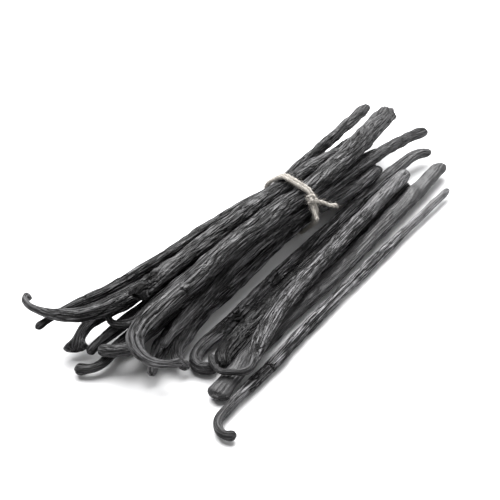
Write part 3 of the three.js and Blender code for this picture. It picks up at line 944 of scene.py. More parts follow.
@dataclass
class Bundle:
    """The centre lines of all the pods, laid out and then settled against each other.

    Attributes:
        pods: the pods.
        section: how their sections change.
        tie_y: where the middle of the tie is across the bundle.
        tie_z: how high it is.
        tie_radius: how far from it the tied pods reach.
        tie_reach: how far along the bundle the tie holds them.
        twine_diameter: the twine's diameter.
        loose_clearance: how far the other pods stay clear of the twine.
        pod_gap: how far the pods stay clear of each other.
        stations: the number of points on a centre line.
        route_points: the number of points through which it is drawn first.
        curl_step: the distance between them in a curl.
        rounds: how often the pods are pushed.
        stiff_rounds: how many rounds keep the pods stiff.
        push_share: the share of a push that is made in one round.
        stiff: the share and the passes of the smoothing that keeps a pod stiff.
        supple: the same in the last rounds.
        contact_reach: the greatest distance between two centre lines that may touch.
        end_reach: how far past a pod's end it may still touch another.
    """

    pods: tuple[Pod, ...] = PODS
    section: Section = field(default_factory=Section)
    tie_y: float = -0.8
    tie_z: float = 12.1
    tie_radius: float = 10.0
    tie_reach: float = 4.0
    twine_diameter: float = 1.5
    loose_clearance: float = 0.7
    pod_gap: float = 0.3
    stations: int = 61
    route_points: int = 200
    curl_step: float = 0.5
    rounds: int = 260
    stiff_rounds: int = 180
    push_share: float = 0.7
    stiff: tuple[float, int] = (0.5, 3)
    supple: tuple[float, int] = (0.12, 1)
    contact_reach: float = 14.0
    end_reach: float = 2.2

    def __post_init__(self) -> None:
        """Lays the pods out and settles them."""
        routes = [self._route(pod) for pod in self.pods]
        self.start = np.array([line for line, _ in routes])
        self.length = np.array([length for _, length in routes])
        share = np.linspace(0.0, 1.0, self.stations)
        self.half = np.array(
            [
                self.section.half(pod, share * length, length)
                * self.section.squeezed(pod, line[:, 0])
                for pod, (line, length) in zip(self.pods, routes)
            ]
        )
        self.roll = np.radians([pod.roll for pod in self.pods])[:, None] * np.ones(self.stations)
        self.tied = np.array([pod.tied for pod in self.pods])[:, None]
        self.at = self.start.copy()
        for turn in range(self.rounds):
            self._settle_once(self.stiff if turn < self.stiff_rounds else self.supple)

    def _route(self, pod: Pod) -> tuple[np.ndarray, float]:
        """A pod's centre line through its way points and along its curl, and its length."""
        body = through(np.array(pod.way, float), self.route_points)
        return evenly(along_arcs(body, pod.curl, self.curl_step), self.stations)

    def frames(self) -> tuple[np.ndarray, np.ndarray, np.ndarray]:
        """Each station's tangent, wide side and thin side, shape (pods, stations, 3)."""
        tangent = unit(np.gradient(self.at, axis=-2))
        wide, thin = sides_of(tangent, self.roll)
        return tangent, wide, thin

    def _settle_once(self, smoothing: tuple[float, int]) -> None:
        """Pushes every pod out of the others, into or out of the tie and off the floor.

        Args:
            smoothing: the share and the passes by which each pod's moves are then evened out.
        """
        tangent, wide, thin = self.frames()
        flat, flat_half = self.at.reshape(-1, 3), self.half.reshape(-1, 2)
        flat_wide, flat_thin = wide.reshape(-1, 3), thin.reshape(-1, 3)
        rows = np.arange(len(flat))
        push = np.zeros_like(self.at)
        for j in range(len(self.pods)):
            gap = flat[:, None, :] - self.at[j][None]
            near = (gap**2).sum(-1).argmin(1)
            gap = gap[rows, near]
            far = np.linalg.norm(gap, axis=1)
            along = dot(gap, tangent[j][near])
            gap = gap - along[:, None] * tangent[j][near]
            distance = np.linalg.norm(gap, axis=1)
            way = gap / np.maximum(distance, 1e-9)[:, None]
            theirs = reach(self.half[j][near], wide[j][near], thin[j][near], way)
            mine = reach(flat_half, flat_wide, flat_thin, way)
            deep = mine + theirs + self.pod_gap - distance
            touching = (far < self.contact_reach) & (np.abs(along) <= self.end_reach)
            deep = np.where(touching, np.clip(deep, 0, None), 0).reshape(len(self.pods), -1)
            deep[j] = 0
            push += 0.5 * deep[..., None] * way.reshape(push.shape)
        push += self._push_by_tie(wide, thin)
        low = reach(self.half, wide, thin, UP) - self.at[..., 2]
        push[..., 2] += np.clip(low, 0, None)
        self.at = self.at + self.push_share * push
        self._stiffen(*smoothing)

    def _push_by_tie(self, wide: np.ndarray, thin: np.ndarray) -> np.ndarray:
        """The pushes that keep tied pods inside the tie's circle and the others outside it."""
        out = self.at - np.array([0.0, self.tie_y, self.tie_z])
        out[..., 0] = 0
        radius = np.linalg.norm(out, axis=-1)
        out = out / np.maximum(radius, 1e-9)[..., None]
        size = reach(self.half, wide, thin, out)
        over = np.clip(radius + size - self.tie_radius, 0, None)
        clear = self.tie_radius + self.twine_diameter + self.loose_clearance
        under = np.clip(clear - (radius - size), 0, None)
        deep = np.where(self.tied, -over, under) * (np.abs(self.at[..., 0]) < self.tie_reach)
        return deep[..., None] * out

    def _stiffen(self, share: float, passes: int) -> None:
        """Evens out how far neighbouring stations have moved, so that a pod stays smooth."""
        moved = self.at - self.start
        for _ in range(passes):
            padded = np.concatenate([moved[:, 1:2], moved, moved[:, -2:-1]], axis=1)
            moved = mix(moved, (padded[:, :-2] + padded[:, 2:]) / 2, share)
        self.at = self.start + moved


@dataclass
class PodSkin:
    """The fine skin of one pod.

    Attributes:
        bundle: where the pod lies.
        number: its place in the bundle.
        row_step: the usual distance between two rings of points.
        trial_places: the number of places where the spacing of the rings is worked out.
        first_seed: the seed of the first pod's random draws; each pod has its own.
        stalk_span: the stretch before the stalk's tip where rings are closer.
        stalk_closer: how much closer they are there, as a share.
        stalk_fade: over what length they get closer.
        stalk_change: over what length the skin changes from the body's to the stalk's.
        stalk_smooth: how much weaker the fine lines are on the stalk, as a share.
        end_closer: how much closer rings are at the blossom end, and over what length.
        spot_closer: how much closer they are at puckers and creases.
        pucker_span: over what length they are at a pucker, against how far it reaches.
        crease_span: over what length they are at a crease.
        furrows: how many broad furrows the oval has.
        furrow_depth: how deep they are, as a share of its size.
        furrow_twist: how fast they wind round the pod, in radians a millimetre.
        furrow_phase: how far they are turned from one pod to the next.
        sway: how far the cracks sway round the pod, in radians, and over what length.
        full_girth: the mean radius of a pod whose cracks have their full depth.
        girth_shares: the least and the greatest share of it that a thin or thick pod has.
        deep_cracks: the deep cracks.
        deep_depth: how deep they are.
        deep_width: how wide they are, against the distance between them.
        gates: the places where they fade out.
        gate_levels: the middle and the spread of the share of them that is left.
        ridge_cracks: the cracks between the finer ridges.
        ridge_depth: how deep these are.
        ridge_width: how wide these are.
        ridge_least: the share of them that is left where the deep cracks are whole.
        ridge_crack_shade: how much painted shade these cracks get against the deep ones.
        swell: how far the skin swells between two deep cracks.
        swell_reach: the distance from a deep crack up to which it does, in spreads of the field.
        lumps: the slow lumps.
        lump_depth: how far they stand out.
        folds: the folds in a pucker.
        fold_width: how wide the cracks between them are.
        fold_lift: how far its skin is sunk between them, against the depth of these cracks.
        fold_drop: how much less it is on top of a fold, for each spread of the field.
        fold_reach: up to how many spreads.
        fold_crack_shade: how much painted shade these cracks get.
        crease_width: how wide a crease is.
        end_smooth: how much weaker the fine lines are at the blossom end, as a share.
        end_span: how far from it, and over what length, that fades.
        hole_shade: how much painted shade a hollow in a face gets for each millimetre of its depth.
        hole_most_shade: how much painted shade it gets at most.
        pole_dark: how dark the middle of the blossom face and of the stalk's face are.
        apart: how far apart the pods are in the noise, so that no two look the same.
    """

    bundle: Bundle
    number: int
    row_step: float = 0.62
    trial_places: int = 2000
    first_seed: int = 1000
    stalk_span: float = 26.0
    stalk_closer: float = 0.9
    stalk_fade: float = 6.0
    stalk_change: float = 12.0
    stalk_smooth: float = 0.5
    end_closer: tuple[float, float] = (1.2, 4.0)
    spot_closer: float = 1.3
    pucker_span: float = 1.6
    crease_span: float = 4.0
    furrows: int = 3
    furrow_depth: float = 0.1
    furrow_twist: float = 0.012
    furrow_phase: float = 2.4
    sway: tuple[float, float] = (0.12, 25.0)
    full_girth: float = 2.2
    girth_shares: tuple[float, float] = (0.25, 1.15)
    deep_cracks: Cracks = (6.5, 2.2, 34.0)
    deep_depth: float = 0.5
    deep_width: float = 0.17
    gates: Cracks = (2.0, 1.2, 22.0)
    gate_levels: tuple[float, float] = (0.5, 0.45)
    ridge_cracks: Cracks = (14.0, 4.0, 22.0)
    ridge_depth: float = 0.28
    ridge_width: float = 0.3
    ridge_least: float = 0.45
    ridge_crack_shade: float = 0.75
    swell: float = 0.16
    swell_reach: float = 1.4
    lumps: Cracks = (1.5, 1.0, 14.0)
    lump_depth: float = 0.12
    folds: Cracks = (2.5, 1.6, 7.0)
    fold_width: float = 0.3
    fold_lift: float = 0.45
    fold_drop: float = 0.55
    fold_reach: float = 1.5
    fold_crack_shade: float = 1.4
    crease_width: float = 0.45
    end_smooth: float = 0.65
    end_span: tuple[float, float] = (45.0, 20.0)
    hole_shade: float = 0.8
    hole_most_shade: float = 0.95
    pole_dark: tuple[float, float] = (0.5, 0.8)
    apart: float = 37.0

    def __post_init__(self) -> None:
        """Works out where the rings of points are, close together where the shape is fine."""
        self.pod = self.bundle.pods[self.number]
        self.length = self.bundle.length[self.number]
        self.rng = np.random.default_rng(self.first_seed + self.number)
        places = np.linspace(0.0, self.length, self.trial_places)
        more, span = self.end_closer
        stalk = smooth((places - self.length + self.stalk_span) / self.stalk_fade)
        density = 1 + self.stalk_closer * stalk + more * bell(places / span)
        spots = [(pucker.share, self.pucker_span * pucker.along) for pucker in self.pod.puckers]
        spots += [(crease.share, self.crease_span) for crease in self.pod.creases]
        for share, span in spots:
            density = density + self.spot_closer * bell((places - share * self.length) / span)
        steps = (density[1:] + density[:-1]) / 2 * np.diff(places)
        run = np.concatenate([[0.0], np.cumsum(steps)])
        count = round(run[-1] / self.row_step * self.pod.fine / USUAL_FINE)
        self.s = np.interp(np.linspace(0.0, run[-1], count), run, places)
        self.theta = np.arange(self.pod.fine) * TURN / self.pod.fine

    def relief(self, girth: np.ndarray) -> tuple[np.ndarray, np.ndarray]:
        """How far the skin stands out from the furrowed oval, and a crack mask that paints shade
        into its cracks.

        Deep cracks are thin grooves along the zero lines of a random field that is stretched
        along the pod, and finer ridges follow a second such field. Both fade in and out along
        the pod. Slow lumps are added, then each pucker's short, tangled cracks and each crease.

        Args:
            girth: the mean radius at each ring, shape (N,).

        Returns:
            The relief in millimetres and the crack mask from 0 to 1, which paints shade, both of
            shape (N, T).
        """
        pod, s, theta, rng = self.pod, self.s, self.theta, self.rng
        width, length = self.sway
        sway = pod.lean * s + width * wander(rng, s, length)
        full = np.clip(girth / self.full_girth, *self.girth_shares)
        deep = ripple(rng, theta, s, *self.deep_cracks, sway)
        fine = ripple(rng, theta, s, *self.ridge_cracks, sway)
        middle, spread = self.gate_levels
        gate = smooth(middle + spread * ripple(rng, theta, s, *self.gates, sway))
        groove = bell(deep / self.deep_width) * gate
        rut = bell(fine / self.ridge_width) * mix(1.0, self.ridge_least, gate)
        strength = (pod.wrinkled * full)[:, None]
        relief = -strength * (self.deep_depth * groove + self.ridge_depth * rut)
        swollen = np.minimum(np.abs(deep), self.swell_reach) - self.swell_reach / 2
        relief = relief + strength * self.swell * swollen
        relief = relief + self.lump_depth * full[:, None] * ripple(rng, theta, s, *self.lumps)
        # The crack mask: painted shade in the deep cracks and, less, in the ridge cracks.
        crack = np.clip(groove + self.ridge_crack_shade * rut, 0, 1) * np.minimum(strength, 1)
        for pucker in pod.puckers:
            bunched, dark = self._bunched(pucker, girth)
            relief = relief - bunched
            crack = np.maximum(crack, dark)
        for bent in pod.creases:
            cut = self._bent(bent, girth)
            relief = relief - bent.depth * cut
            crack = np.maximum(crack, cut)
        return relief, crack

    def _around(self, angle: float, girth: np.ndarray) -> np.ndarray:
        """The distance round the pod from an angle in degrees, shape (N, T)."""
        turn = (self.theta - np.radians(angle) + np.pi) % TURN - np.pi
        return girth[:, None] * turn

    def _bunched(self, pucker: Pucker, girth: np.ndarray) -> tuple[np.ndarray, np.ndarray]:
        """A pucker's depth and painted shade: folds with short cracks between them, in a soft
        patch.

        Args:
            pucker: the pucker.
            girth: the mean radius at each ring, shape (N,).

        Returns:
            Its depth in millimetres and its painted shade from 0 to 1, both of shape (N, T).
        """
        away = (self.s - pucker.share * self.length)[:, None] / pucker.along
        window = bell(away) * bell(self._around(pucker.angle, girth) / pucker.around)
        folds = ripple(self.rng, self.theta, self.s, *self.folds)
        groove = bell(folds / self.fold_width)
        top = self.fold_drop * np.minimum(np.abs(folds), self.fold_reach)
        depth = pucker.depth * window * (groove + self.fold_lift - top)
        # Painted shade in the pucker's middle and in the cracks between its folds.
        dark = window * (pucker.dark * window + self.fold_crack_shade * groove)
        return depth, np.clip(dark, 0, 1)

    def _bent(self, crease: Crease, girth: np.ndarray) -> np.ndarray:
        """A crease from 0 to 1: a thin line that runs back on both sides of its bend."""
        round_ = self._around(crease.angle, girth)
        line = (self.s - crease.share * self.length)[:, None] - crease.rake * np.abs(round_)
        return bell(line / self.crease_width) * bell(round_ / crease.around)

    def surface(self) -> Surface:
        """The closed skin: ovals along the centre line, their relief, and a face at each end.

        A ring's point at the angle theta is the centre, plus cos(theta) times half the width and
        sin(theta) times half the thickness along the section's two sides, both less the furrows,
        plus the relief along the oval's outward direction.

        Returns:
            The skin, with what its finish reads.
        """
        pod, s, theta = self.pod, self.s, self.theta
        centre = refine(self.bundle.at[self.number], s / self.length)
        tangent = unit(np.gradient(centre, s, axis=0))
        wide, thin = sides_of(tangent, np.full(len(s), np.radians(pod.roll)))
        section = self.bundle.section
        half = section.half(pod, s, self.length) * section.squeezed(pod, centre[:, 0])
        turned = self.number * self.furrow_phase + self.furrow_twist * s[:, None]
        oval = 1 - self.furrow_depth * (0.5 - 0.5 * np.cos(self.furrows * theta + turned))
        relief, crack = self.relief(half.mean(1))

        start, end = np.array(BLOSSOM_FACE_CURVE), np.array(pod.end.value)
        rows = np.pad(np.arange(len(s)), (len(start), len(end)), "edge")
        share = np.concatenate([start[::-1, 0], np.ones(len(s)), end[:, 0]])
        out = np.concatenate([-start[::-1, 1], np.zeros(len(s)), end[:, 1]])
        spread = np.stack([np.cos(theta), np.sin(theta)], -1)
        flat = half[rows, None, :] * spread * (oval[rows] * share[:, None])[..., None]
        outward = unit(spread / np.maximum(half[rows, None, :], 1e-6))
        flat = flat + outward * (relief[rows] * share[:, None])[..., None]
        middle = centre[rows] + tangent[rows] * out[:, None]
        rings = (
            middle[:, None]
            + flat[..., :1] * wide[rows, None]
            + flat[..., 1:] * thin[rows, None]
        )
        points, quads, fans = sleeve(rings, rings[0].mean(0), rings[-1].mean(0))
        run = np.broadcast_to((s[rows] + out)[:, None], flat.shape[:2])
        straight = np.concatenate([flat, run[..., None]], -1).reshape(-1, 3)
        poles = np.array([[0, 0, -1.0], [0, 0, self.length]])
        apart = np.array([0.0, self.apart * self.number, 0.0])
        # Painted shade in the hollow of an open stalk end, deeper as it goes in.
        hole = np.clip(-self.hole_shade * end[:, 1], 0.0, self.hole_most_shade)
        hole = np.pad(hole, (len(start) + len(s), 0))
        dark = np.maximum(crack[rows], hole[:, None]).ravel()
        stalk = smooth((s - self.length + self.stalk_span) / self.stalk_change)
        # Each pod's lightness, changed on its stalk: partly its own tone, partly painted light and
        # shade.
        shade = pod.shade + pod.stalk * stalk
        from_end, fade = self.end_span
        blossom = smooth((from_end - s) / fade)
        lined = pod.lined * (1 - self.stalk_smooth * stalk) * (1 - self.end_smooth * blossom)
        return Surface(
            points, quads, fans,
            {"straight": np.vstack([straight, poles]) + apart},
            {
                "crack": np.append(dark, self.pole_dark),
                "shade": np.append(np.repeat(shade[rows], len(theta)), shade[[0, -1]]),
                "lined": np.append(np.repeat(lined[rows], len(theta)), lined[[0, -1]]),
            },
        )

    def piece(self, material: Material) -> Object:
        """Makes the pod's object, which stands for its solid."""
        made = self.surface().to_object(f"{self.pod.node}_skin", material)
        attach(made, BODY)
        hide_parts(self.pod.node)
        return made


# ---------------------------------------------------------------- twine

@dataclass
class Twine:
    """Two turns of three-ply twine round the tied pods, with their knot and two loose ends.

    Attributes:
        bundle: where the tied pods are.
        seed: the seed of its random draws.
        clearance: how far the twine stays clear of them.
        hull_steps: the number of points on its outline.
        hull_reach: how far from X = 0 a pod's stations count for the outline.
        ply_share: a ply's radius against the twine's diameter.
        ply_sides: the number of points round a ply.
        pitch: the length in which the plies go round once.
        point_step: the distance between two rings of points.
        wavy: how far a ply's distance from the middle varies, as a share, and over what length.
        uneven: the same for its radius.
        splay: how much farther out a loose end's plies are at its end, as a share.
        splay_length: over what length they open out.
        tip_rings: over how many rings of points the end of a ply rounds off.
        tip_start: how far into that rounding its first ring is, as a share.
        tip_dark: how dark the middle of its end is.
        core_shade: how much painted shade a ply gets where it faces the strand's core.
        core_reach: how far past its sides the dark reaches, as a cosine.
        apart: how far apart the plies are in the noise, so that no two look the same.
        thinner: the knot's and the ends' diameter against the turns'.
        cross_start: after how many turns the twine steps across to the second turn's side.
        cross_span: over how many turns it does that.
        drift: how far the turns stray along the bundle, and over how many turns.
        knot_angle: where the knot is round the tie, in degrees from +Y over the top.
        knot_radii: its half sizes along the bundle, round it and out of it.
        knot_inset: how far inside them its middle line stays, in half twines.
        knot_out: how far its middle is outside the turns', as a share of its half size.
        knot_shift: how far along the bundle it is.
        knot_points: the number of points on its middle line.
        tails: the loose ends' way points.
        tail_points: the number of points on a loose end's middle line.
        hairs: the number of stray fibres.
        hair_places: the number of places on a strand where one may start.
        hair_margin: how many of them at each end have none.
        hair_root: how far from the strand's middle one starts, as a share of its radius.
        hair_width: how far a hair's corners are from its middle at its root.
        hair_points: the number of points along one.
        hair_along: the least and the greatest distance that one runs along the twine.
        hair_rise: how far the longest one stands out.
        hair_low: the root of the share of that which the shortest one has.
        hair_bend: how far one bends back towards the strand, as a share of its rise.
        hair_taper: how much thinner its tip is, as a share.
        hair_curl: how far they usually turn aside.
    """

    bundle: Bundle
    seed: int = 77
    clearance: float = 0.3
    hull_steps: int = 360
    hull_reach: float = 3.5
    ply_share: float = 0.30
    ply_sides: int = 10
    pitch: float = 4.6
    point_step: float = 0.24
    wavy: tuple[float, float] = (0.12, 5.0)
    uneven: tuple[float, float] = (0.1, 3.0)
    splay: float = 0.9
    splay_length: float = 3.0
    tip_rings: float = 3.0
    tip_start: float = 0.2
    tip_dark: float = 0.5
    core_shade: float = 0.9
    core_reach: float = 0.1
    apart: float = 9.0
    thinner: float = 0.87
    cross_start: float = 0.88
    cross_span: float = 0.24
    drift: tuple[float, float] = (0.08, 0.4)
    knot_angle: float = 146.0
    knot_radii: Point = (2.3, 1.9, 1.5)
    knot_inset: Point = (0.9, 0.9, 0.55)
    knot_out: float = 0.5
    knot_shift: float = -1.2
    knot_points: int = 160
    tails: tuple[tuple[Point, ...], ...] = (
        ((-1.2, -9.6, 17.6), (-3, -12.6, 15.9), (-4.2, -15.2, 13.4)),
        ((-1.2, -9.6, 17.6), (2.6, -12.2, 16.2), (4.8, -14.4, 14.6), (7.4, -15.6, 13.6)),
    )
    tail_points: int = 120
    hairs: int = 2200
    hair_places: int = 400
    hair_margin: int = 4
    hair_root: float = 0.8
    hair_width: float = 0.042
    hair_points: int = 5
    hair_along: tuple[float, float] = (0.6, 2.0)
    hair_rise: float = 1.3
    hair_low: float = 0.15
    hair_bend: float = 0.9
    hair_taper: float = 0.6
    hair_curl: float = 0.5

    def __post_init__(self) -> None:
        """Seeds the twine's own random draws."""
        self.rng = np.random.default_rng(self.seed)

    def outline(self) -> np.ndarray:
        """The line of the twine's middle round the tied pods, in the plane X = 0.

        In each direction the pods reach a certain way. Lines drawn square to the directions at
        that reach, plus the clearance and half a twine, meet in the corners of the outline.

        Returns:
            Closely spaced points, counted over the top from +Y, shape (hull_steps, 3).
        """
        bundle = self.bundle
        _, wide, thin = bundle.frames()
        near = (np.abs(bundle.at[..., 0]) <= self.hull_reach) & bundle.tied
        at, half = bundle.at[near], bundle.half[near]
        angle = np.arange(self.hull_steps) * TURN / self.hull_steps
        way = np.stack([np.zeros_like(angle), np.cos(angle), np.sin(angle)], 1)
        centre = np.array([0.0, bundle.tie_y, bundle.tie_z])
        along = ((at - centre) * [0, 1, 1]) @ way.T
        size = np.hypot(half[:, :1] * (wide[near] @ way.T), half[:, 1:] * (thin[near] @ way.T))
        out = (along + size).max(0) + self.clearance + bundle.twine_diameter / 2
        following = np.roll(out, -1)
        step = TURN / self.hull_steps
        slope = (following - out * np.cos(step)) / np.sin(step)
        square = np.stack([np.zeros_like(angle), -np.sin(angle), np.cos(angle)], 1)
        corners = centre + out[:, None] * way + slope[:, None] * square
        return evenly(np.vstack([corners, corners[:1]]), self.hull_steps + 1)[0][:-1]

    def turns(self) -> np.ndarray:
        """The twine's middle line through both turns.

        The first turn lies half a twine to one side of X = 0 and the second as far to the other
        side, with a smooth step across under the knot, where both also start and end.

        Returns:
            The points, shape (2 * hull_steps + 1, 3).
        """
        loop = self.outline()
        centre = np.array([self.bundle.tie_y, self.bundle.tie_z])
        angle = np.arctan2(loop[:, 2] - centre[1], loop[:, 1] - centre[0]) % TURN
        first = int(np.argmin(np.abs(angle - np.radians(self.knot_angle))))
        order = (first + np.arange(2 * len(loop) + 1)) % len(loop)
        share = np.linspace(0.0, 2.0, len(order))
        side = self.bundle.twine_diameter / 2
        x = mix(-side, side, smooth((share - self.cross_start) / self.cross_span))
        line = loop[order].copy()
        drift, drift_turns = self.drift
        line[:, 0] = x + drift * wander(self.rng, share, drift_turns)
        return line

    def knot(self) -> np.ndarray:
        """The knot's middle line: a trefoil, stretched to the knot's three radii.

        Its turning part is (sin t + 2 sin 2t, cos t - 2 cos 2t, -sin 3t), which threads itself.

        Returns:
            The points, shape (knot_points, 3).
        """
        t = np.linspace(0.0, TURN, self.knot_points)
        trefoil = np.stack(
            [np.sin(t) + 2 * np.sin(2 * t), np.cos(t) - 2 * np.cos(2 * t), -np.sin(3 * t)], 1
        )
        thread = self.bundle.twine_diameter / 2
        radii = np.array(self.knot_radii) - thread * np.array(self.knot_inset)
        local = trefoil / [3.0, 3.0, 1.0] * radii
        angle = np.radians(self.knot_angle)
        out = np.array([0.0, np.cos(angle), np.sin(angle)])
        around = np.array([0.0, -np.sin(angle), np.cos(angle)])
        loop = self.outline()
        middle = loop[np.argmax(unit(loop - [0, self.bundle.tie_y, self.bundle.tie_z]) @ out)]
        place = middle + out * self.knot_radii[2] * self.knot_out
        place[0] = self.knot_shift
        return place + local[:, :1] * [1.0, 0.0, 0.0] + local[:, 1:2] * around + local[:, 2:] * out

    def strand(self, line: np.ndarray, diameter: float, splay: float = 0.0) -> Surface:
        """Three plies twisted round a line.

        Each ply is a tube whose middle goes round the line once in every pitch, a third of a
        turn from the next ply. With splay, the plies open out over the last few millimetres.

        Args:
            line: the strand's middle, shape (K, 3).
            diameter: the strand's diameter.
            splay: how much farther out the plies are at the end, as a share.

        Returns:
            The three tubes.
        """
        _, length = evenly(line, 2)
        count = round(length / self.point_step)
        path, length = evenly(line, count)
        run = np.linspace(0.0, length, count)
        side, over = square_to(unit(np.gradient(path, axis=0)))
        ply = self.ply_share * diameter
        open_ = 1 + splay * smooth((run - length + self.splay_length) / self.splay_length)
        wave, wave_length = self.wavy
        bulge, bulge_length = self.uneven
        tubes = []
        for k in range(3):
            turn = TURN * (run / self.pitch + k / 3)
            away = (diameter / 2 - ply) * open_ * (1 + wave * wander(self.rng, run, wave_length))
            way = np.cos(turn)[:, None] * side + np.sin(turn)[:, None] * over
            radius = ply * (1 + bulge * wander(self.rng, run, bulge_length))
            tubes.append(self._tube(path + away[:, None] * way, radius, k, path))
        return Surface.join(tubes)

    def _tube(
        self, middle: np.ndarray, radius: np.ndarray, number: int, core: np.ndarray
    ) -> Surface:
        """A closed tube round a line, with painted shade on the side that faces the strand's core.

        Args:
            middle: the line, shape (N, 3).
            radius: the tube's radius at each point, shape (N,).
            number: which ply of the strand it is.
            core: the strand's middle beside each point, shape (N, 3).

        Returns:
            The tube.
        """
        side, over = square_to(unit(np.gradient(middle, axis=0)))
        theta = np.arange(self.ply_sides) * TURN / self.ply_sides
        way = np.cos(theta)[:, None] * side[:, None] + np.sin(theta)[:, None] * over[:, None]
        row = np.arange(len(middle))
        taper = round_off(np.minimum(row, row[::-1]) / self.tip_rings + self.tip_start)
        rings = middle[:, None] + way * (radius * taper)[:, None, None]
        points, quads, fans = sleeve(rings, rings[0].mean(0), rings[-1].mean(0))
        # Painted shade where the ply faces the others.
        inward = unit(core - middle)
        facing_core = (dot(way, inward[:, None]) + self.core_reach) / (1 + self.core_reach)
        dark = smooth(facing_core) * self.core_shade
        run = np.concatenate([[0.0], np.cumsum(np.linalg.norm(np.diff(middle, axis=0), axis=1))])
        flat = np.stack([np.cos(theta), np.sin(theta)], -1) * radius[:, None, None]
        straight = np.concatenate(
            [flat, np.broadcast_to(run[:, None, None], (*flat.shape[:2], 1))], -1
        ).reshape(-1, 3)
        poles = np.array([[0, 0, run[0]], [0, 0, run[-1]]])
        apart = np.array([0.0, self.apart * number, 0.0])
        return Surface(
            points, quads, fans,
            {"straight": np.vstack([straight, poles]) + apart},
            {"crack": np.append(dark, [self.tip_dark, self.tip_dark])},
        )

    def fuzz(self, lines: list[tuple[np.ndarray, float]]) -> Surface:
        """Stray fibres: thin three-sided hairs that leave the twine and bend back along it.

        A hair starts on the strand's skin at a random place, and its middle is a parabola:
        out from the strand, along it, and a little sideways.

        Args:
            lines: each strand's middle line and diameter.

        Returns:
            All the hairs as one surface.
        """
        rng, count, corners = self.rng, self.hair_points, 3
        root, tangent, radius = self._hair_roots(lines)
        number = len(root)
        side, over = square_to(tangent)
        angle = rng.uniform(0, TURN, number)[:, None]
        out = np.cos(angle) * side + np.sin(angle) * over
        round_ = -np.sin(angle) * side + np.cos(angle) * over
        forward = rng.choice([-1.0, 1.0], number)[:, None]
        forward = forward * rng.uniform(*self.hair_along, (number, 1))
        rise = rng.uniform(self.hair_low, 1.0, (number, 1)) ** 2 * self.hair_rise
        curl = rng.normal(0, self.hair_curl, (number, 1))
        t = np.linspace(0.0, 1.0, count)[None, :, None]
        arch = (1 + self.hair_bend) * t - self.hair_bend * t**2
        middle = (
            (root + out * radius[:, None] * self.hair_root)[:, None]
            + out[:, None] * rise[:, None] * arch
            + (tangent * forward)[:, None] * t
            + (round_ * curl)[:, None] * t**2
        )
        girth = self.hair_width * (1 - self.hair_taper * t[0, :, 0])
        corner = np.arange(corners) * TURN / corners
        across = (
            np.cos(corner)[None, None, :, None] * out[:, None, None]
            + np.sin(corner)[None, None, :, None] * round_[:, None, None]
        )
        points = (middle[:, :, None] + across * girth[None, :, None, None]).reshape(-1, 3)
        foot = np.arange(number)[:, None, None] * count * corners
        row = foot + np.arange(count - 1)[None, :, None] * corners
        k = np.arange(corners)
        after = (k + 1) % corners
        quads = np.stack([row + k, row + after, row + after + corners, row + k + corners], -1)
        tip = foot[:, 0] + (count - 1) * corners
        ends = np.concatenate([foot[:, 0] + k[[0, 2, 1]], tip + k])
        dark = np.zeros(len(points))
        return Surface(points, quads.reshape(-1, 4), ends, {"straight": points}, {"crack": dark})

    def _hair_roots(
        self, lines: list[tuple[np.ndarray, float]]
    ) -> tuple[np.ndarray, np.ndarray, np.ndarray]:
        """Draws where the hairs start, as many on each strand as its length asks for.

        Args:
            lines: each strand's middle line and diameter.

        Returns:
            The places on the middle lines, their tangents and the strand's radius there.
        """
        points, tangents, radii = [], [], []
        weights = np.array([evenly(line, 2)[1] for line, _ in lines])
        for (line, diameter), share in zip(lines, weights / weights.sum()):
            count = round(self.hairs * share)
            path, _ = evenly(line, self.hair_places)
            last = self.hair_places - self.hair_margin
            pick = self.rng.integers(self.hair_margin, last, count)
            points.append(path[pick])
            tangents.append(unit(np.gradient(path, axis=0))[pick])
            radii.append(np.full(count, diameter / 2))
        return np.vstack(points), np.vstack(tangents), np.concatenate(radii)

    def piece(self, material: Material) -> Object:
        """Makes the twine's object, which stands for its solid."""
        full = self.bundle.twine_diameter
        thin = self.thinner * full
        turns, knot = self.turns(), self.knot()
        tails = [through(np.array(way, float), self.tail_points) for way in self.tails]
        strands = [self.strand(turns, full), self.strand(knot, thin)]
        strands += [self.strand(tail, thin, self.splay) for tail in tails]
        strands.append(self.fuzz([(turns, full)] + [(line, thin) for line in (knot, *tails)]))
        made = Surface.join(strands).to_object("twine_strands", material)
        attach(made, BODY)
        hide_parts("twine")
        return made


# ---------------------------------------------------------------- studio

@dataclass(frozen=True)
class Lamp:
    """A square soft light that shines at the origin.

    Attributes:
        name: its name.
        place: where it is, in metres.
        side: the length of its sides, in metres.
        watts: how strong it is.
    """

    name: str
    place: Point
    side: float
    watts: float


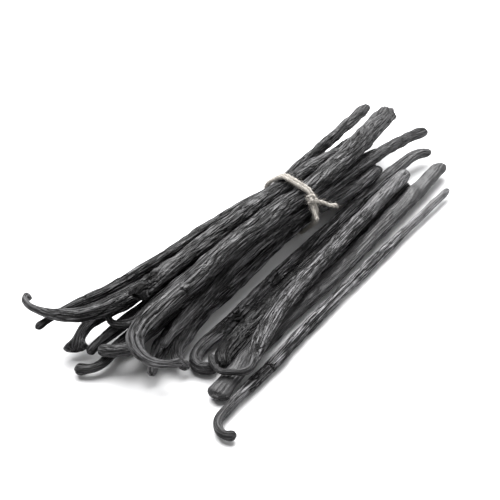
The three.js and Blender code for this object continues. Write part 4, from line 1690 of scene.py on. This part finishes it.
@dataclass(frozen=True)
class Studio:
    """Pale floor, soft lights and the camera.

    Attributes:
        aim: the point of the floor under the middle of the picture, in the frame, in mm.
        elevation: how far the camera is above that point, in degrees.
        heading: how far the camera's level direction is turned from +Y to +X, in degrees.
        distance: from the camera to that point, in mm.
        lens: the focal length for a film as wide as film says, in mm.
        film: that width.
        sky: how bright the even surroundings are.
        floor_side: the length of the floor's sides, in metres.
        lamps: the lamps.
    """

    aim: Point = (-6.2, 11.94, 0.0)
    elevation: float = 36.0
    heading: float = 53.0
    distance: float = 418.3
    lens: float = 84.6
    film: float = 36.0
    sky: float = 0.40
    floor_side: float = 12.0
    lamps: tuple[Lamp, ...] = (
        Lamp("window", (0.22, 0.32, 0.80), 1.0, 34.0),
        Lamp("back", (0.58, 0.40, 0.48), 0.5, 6.5),
        Lamp("fill", (0.40, -0.55, 0.45), 0.8, 3.2),
    )

    def ahead(self) -> np.ndarray:
        """The direction in which the camera looks."""
        up, turn = np.radians(self.elevation), np.radians(self.heading)
        return np.array([np.sin(turn) * np.cos(up), np.cos(turn) * np.cos(up), -np.sin(up)])

    def add_camera(self) -> None:
        """Adds the camera and makes it the scene's."""
        data = bpy.data.cameras.new("camera")
        data.lens = self.lens
        data.sensor_width = self.film
        data.clip_start = 0.01
        camera = bpy.data.objects.new("camera", data)
        place = (np.array(self.aim) - self.ahead() * self.distance) * MM
        camera.matrix_world = Matrix.Translation(place) @ facing(self.ahead())
        bpy.context.scene.collection.objects.link(camera)
        bpy.context.scene.camera = camera

    def add_lights(self) -> None:
        """Adds the even white surroundings and the lamps."""
        world = bpy.data.worlds.new("surroundings")
        world.use_nodes = True
        sky = world.node_tree.nodes["Background"]
        sky.inputs["Color"].default_value = (1.0, 1.0, 1.0, 1.0)
        sky.inputs["Strength"].default_value = self.sky
        bpy.context.scene.world = world
        for lamp in self.lamps:
            data = bpy.data.lights.new(lamp.name, "AREA")
            data.shape = "SQUARE"
            data.size = lamp.side
            data.energy = lamp.watts
            light = bpy.data.objects.new(lamp.name, data)
            light.matrix_world = Matrix.Translation(lamp.place) @ facing(-np.array(lamp.place))
            bpy.context.scene.collection.objects.link(light)

    def add_floor(self, material: Material) -> None:
        """Adds the floor, which isn't part of the object."""
        half = self.floor_side / 2 / MM
        corners = np.array([[-half, -half, 0], [half, -half, 0], [half, half, 0], [-half, half, 0]])
        floor = Surface(corners, np.array([[0, 1, 2, 3]])).to_object("floor", material)

    def set_colours(self) -> None:
        """Shows colours as they are, without a film curve."""
        view = bpy.context.scene.view_settings
        view.view_transform = "Standard"
        view.look = "None"
        view.exposure = 0.0
        view.gamma = 1.0


def facing(way: np.ndarray) -> Matrix:
    """The turn that makes a camera or lamp look along a direction, with +Z up in its view."""
    return Vector(way).to_track_quat("-Z", "Y").to_matrix().to_4x4()


def main() -> None:
    """Builds the bundle round its frame, and the studio round the bundle."""
    logging.basicConfig(level=logging.INFO, format="%(name)s: %(message)s")
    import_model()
    effects = Effects()
    pod_material = PodFinish().material("cured_skin", effects)
    twine_material = TwineFinish().material("twine_fibre", effects)
    bundle = Bundle()
    log.info("settled %d pods", len(bundle.pods))
    for number in range(len(bundle.pods)):
        piece = PodSkin(bundle, number).piece(pod_material)
        log.info("%s: %d faces", piece.name, len(piece.data.polygons))
    twine = Twine(bundle).piece(twine_material)
    log.info("%s: %d faces", twine.name, len(twine.data.polygons))
    studio = Studio()
    studio.add_floor(FloorFinish().material("white_floor"))
    studio.add_lights()
    studio.add_camera()
    studio.set_colours()


if __name__ == "__main__":
    main()
